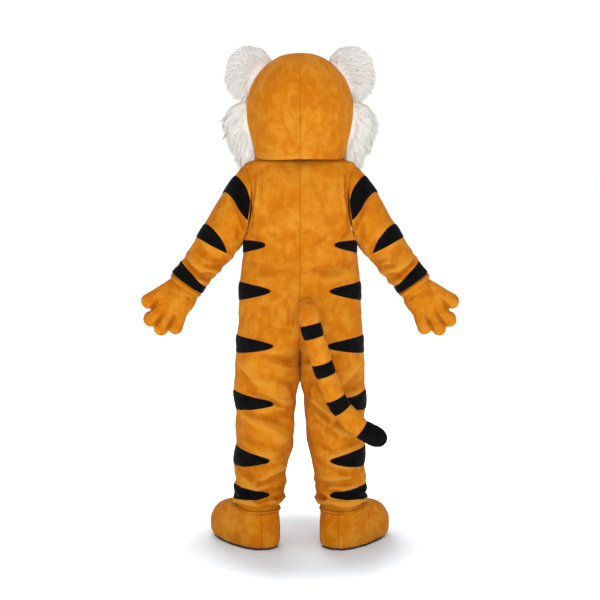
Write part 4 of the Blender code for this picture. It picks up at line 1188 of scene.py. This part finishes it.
bandRows, bandAngles = spread(np.linspace(0, 3, boot["bandRows"]), allRound(boot["bandColumns"]))
bandPoints = bandForm(bandRows, bandAngles)
bandOut = (bandPoints - bandPoints.mean(axis=1, keepdims=True)) * (1, 1, 0)
bandOut /= np.linalg.norm(bandOut, axis=2, keepdims=True)
bandSwell = 0.003 * np.sin(np.pi * np.clip(bandRows / 1.2, 0, 1)) ** 0.7 - 0.0016 * bell(bandRows, 0.1)
bandPoints = bandPoints + bandOut * (bandSwell + 0.0008 * waves(bandPoints, 0.05, 85))[..., None]
for sideName, side in sides:
    for piece, first, last, columns in boot["pieces"]:
        bootPatch(f"boot_{piece}_{sideName}", first, last, columns, side)
    dress(
        f"boot_band_{sideName}", "plush", "orange", side, bandPoints, bandOut, closed=True,
        thick=boot["thick"], cut=cutOf(bandPoints, True),
    )
    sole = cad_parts[f"boot_sole_{sideName}"]
    sole.data.materials.clear()
    sole.data.materials.append(soleRubber)
print("stage: boots")


# gloves
glove = {
    "thick": 0.0025, "voxel": 0.0034, "y": -0.034, "start": (0.4308, 1.035), "turn": 27.0, "depth": 0.0285,
    # two layers laid flat side by side, each 0.24 by 0.26 m
    "flat": (0.48, 0.26), "sides": 32, "napAndFoldShade": 0.014,
    "lumps": ((0.001, 0.06, 91), (0.0005, 0.03, 92)),
    # distance along the palm, half width, half depth
    "palm": millimetres(
        (0, 57, 52), (45, 59.5, 52), (80, 64, 46), (112, 61, 41), (136, 52, 34), (150, 34, 22),
    ),
    # root x, root z, end x, end z, root radius, end radius
    "fingers": millimetres(
        (482, 992, 588, 950.5, 50, 28.5), (510, 940, 579, 880, 37, 29), (500, 912, 539, 844, 30, 28),
        (465, 912, 483, 849, 30, 27.5),
    ),
    # creases from between the fingers into the hand: start x, start z, end x, end z, width, depth
    "creases": millimetres(
        (590, 920, 546, 961, 5.5, -8), (562, 860, 529, 914, 5.5, -8), (508, 842, 487, 902, 5.5, -8),
        (470, 905, 430, 912, 6, -3), (520, 1000, 470, 975, 11, -3), (500, 975, 450, 958, 12, 2.4),
        (450, 985, 418, 966, 7, -4), (545, 985, 510, 965, 10, 2),
    ),
}


# rings square to a line in the x-z plane, closed at both ends
def gloveTube(centres, wide, deep, along):
    across = np.array((-along[1], 0.0, along[0]))
    turn = allRound(glove["sides"])
    middle = np.stack([centres[:, 0], 0 * centres[:, 0] + glove["y"], centres[:, 1]], axis=1)
    return (
        middle[:, None] + across * (wide[:, None] * np.cos(turn))[..., None]
        + np.array((0.0, 1.0, 0.0)) * (deep[:, None] * np.sin(turn))[..., None]
    )


# tubes for the palm and fingers, melted into one skin by a remesh
def gloveBlank(side):
    turn = math.radians(glove["turn"])
    along = np.array((math.sin(turn), -math.cos(turn)))
    palm = glove["palm"]
    at = np.concatenate([[-0.012], np.linspace(0, palm[-1, 0], 30), [palm[-1, 0] + 0.006]])
    wide = curve(palm[:, 0], palm[:, 1], at)
    deep = curve(palm[:, 0], palm[:, 2], at)
    wide[[0, -1]], deep[[0, -1]] = (0.001, 0.001), (0.001, 0.001)
    at[0] = 0.0
    tubes = [gloveTube(np.array(glove["start"]) + along * at[:, None], wide, deep, along)]
    for rootX, rootZ, endX, endZ, rootRadius, endRadius in glove["fingers"]:
        root, end = np.array((rootX, rootZ)), np.array((endX, endZ))
        length = np.linalg.norm(end - root)
        way = (end - root) / length
        cap = np.linspace(0, 1, 12)
        at = np.concatenate([[0], np.linspace(0, length, 14), length + endRadius * np.sin(cap[1:] * math.pi / 2)])
        size = np.concatenate([
            [0.001], np.linspace(rootRadius, endRadius, 14), endRadius * np.cos(cap[1:] * math.pi / 2) + 0.0002,
        ])
        tubes.append(gloveTube(root + way * at[:, None], size, np.minimum(size, glove["depth"]), way))
    points = np.concatenate([tube.reshape(-1, 3) for tube in tubes])
    faces, start = [], 0
    for tube in tubes:
        rows, columns = tube.shape[:2]
        faces += (gridFaces(rows, columns, True) + start).tolist()
        faces.append(list(range(start + columns - 1, start - 1, -1)))
        faces.append(list(range(start + (rows - 1) * columns, start + rows * columns)))
        start += rows * columns
    mesh = bpy.data.meshes.new("gloveBlank")
    mesh.from_pydata(mirrored(points, side).tolist(), [], faces)
    reworked(mesh, lambda work: bmesh.ops.recalc_face_normals(work, faces=work.faces))
    blank = objectOf("gloveBlank", mesh)
    remesh = blank.modifiers.new("remesh", "REMESH")
    remesh.mode, remesh.voxel_size = "VOXEL", glove["voxel"]
    smooth = blank.modifiers.new("smooth", "SMOOTH")
    smooth.factor, smooth.iterations = 0.6, 12
    made = bpy.data.meshes.new_from_object(blank.evaluated_get(bpy.context.evaluated_depsgraph_get()))
    bpy.data.objects.remove(blank)
    return made


# folds, lumps and a groove at the seam between back and palm
def gloveRelief(points, side):
    own = mirrored(points, side)
    height = folds(own, glove["creases"]) * 0.9 + lumps(points, glove["lumps"])
    return height - 0.002 * bell(own[:, 1] - glove["y"], 0.0026) + 0.0012


# cuts off what is above the wrist
def openWrist(mesh, side):
    turn = math.radians(glove["turn"])
    cutAt = (side * glove["start"][0], glove["y"], glove["start"][1] - 0.004)
    reworked(mesh, lambda work: bmesh.ops.bisect_plane(
        work, geom=work.verts[:] + work.edges[:] + work.faces[:], plane_co=cutAt,
        plane_no=(-side * math.sin(turn), 0, math.cos(turn)), clear_outer=True,
    ))


for sideName, side in sides:
    mesh = gloveBlank(side)
    points, normals = (np.empty(len(mesh.vertices) * 3, np.float32) for _ in range(2))
    mesh.vertices.foreach_get("co", points)
    mesh.vertex_normals.foreach_get("vector", normals)
    points, normals = points.reshape(-1, 3).astype(float), normals.reshape(-1, 3).astype(float)
    height = gloveRelief(points, side)
    points = points + normals * height[:, None]
    mesh.vertices.foreach_set("co", points.astype(np.float32).ravel())
    # the relief height, with a larger full height, sets a fainter painted shade in the glove's creases and painted
    # highlight on its ridges
    writeFoldShade(mesh, height, glove["napAndFoldShade"])
    openWrist(mesh, side)
    area = sum(face.area for face in mesh.polygons)
    mesh.shade_smooth()
    mesh.materials.clear()
    mesh.materials.append(orangePlush)
    piece = objectOf(f"glove_{sideName}_plush", mesh)
    thicken(piece, glove["thick"])
    wide, long = glove["flat"]
    handOver(
        piece, [f"glove_back_{sideName}", f"glove_palm_{sideName}"], "orange_plush",
        (glove["flat"], round(min(area, wide * long), 4)),
    )
print("stage: gloves")

bpy.context.view_layer.update()
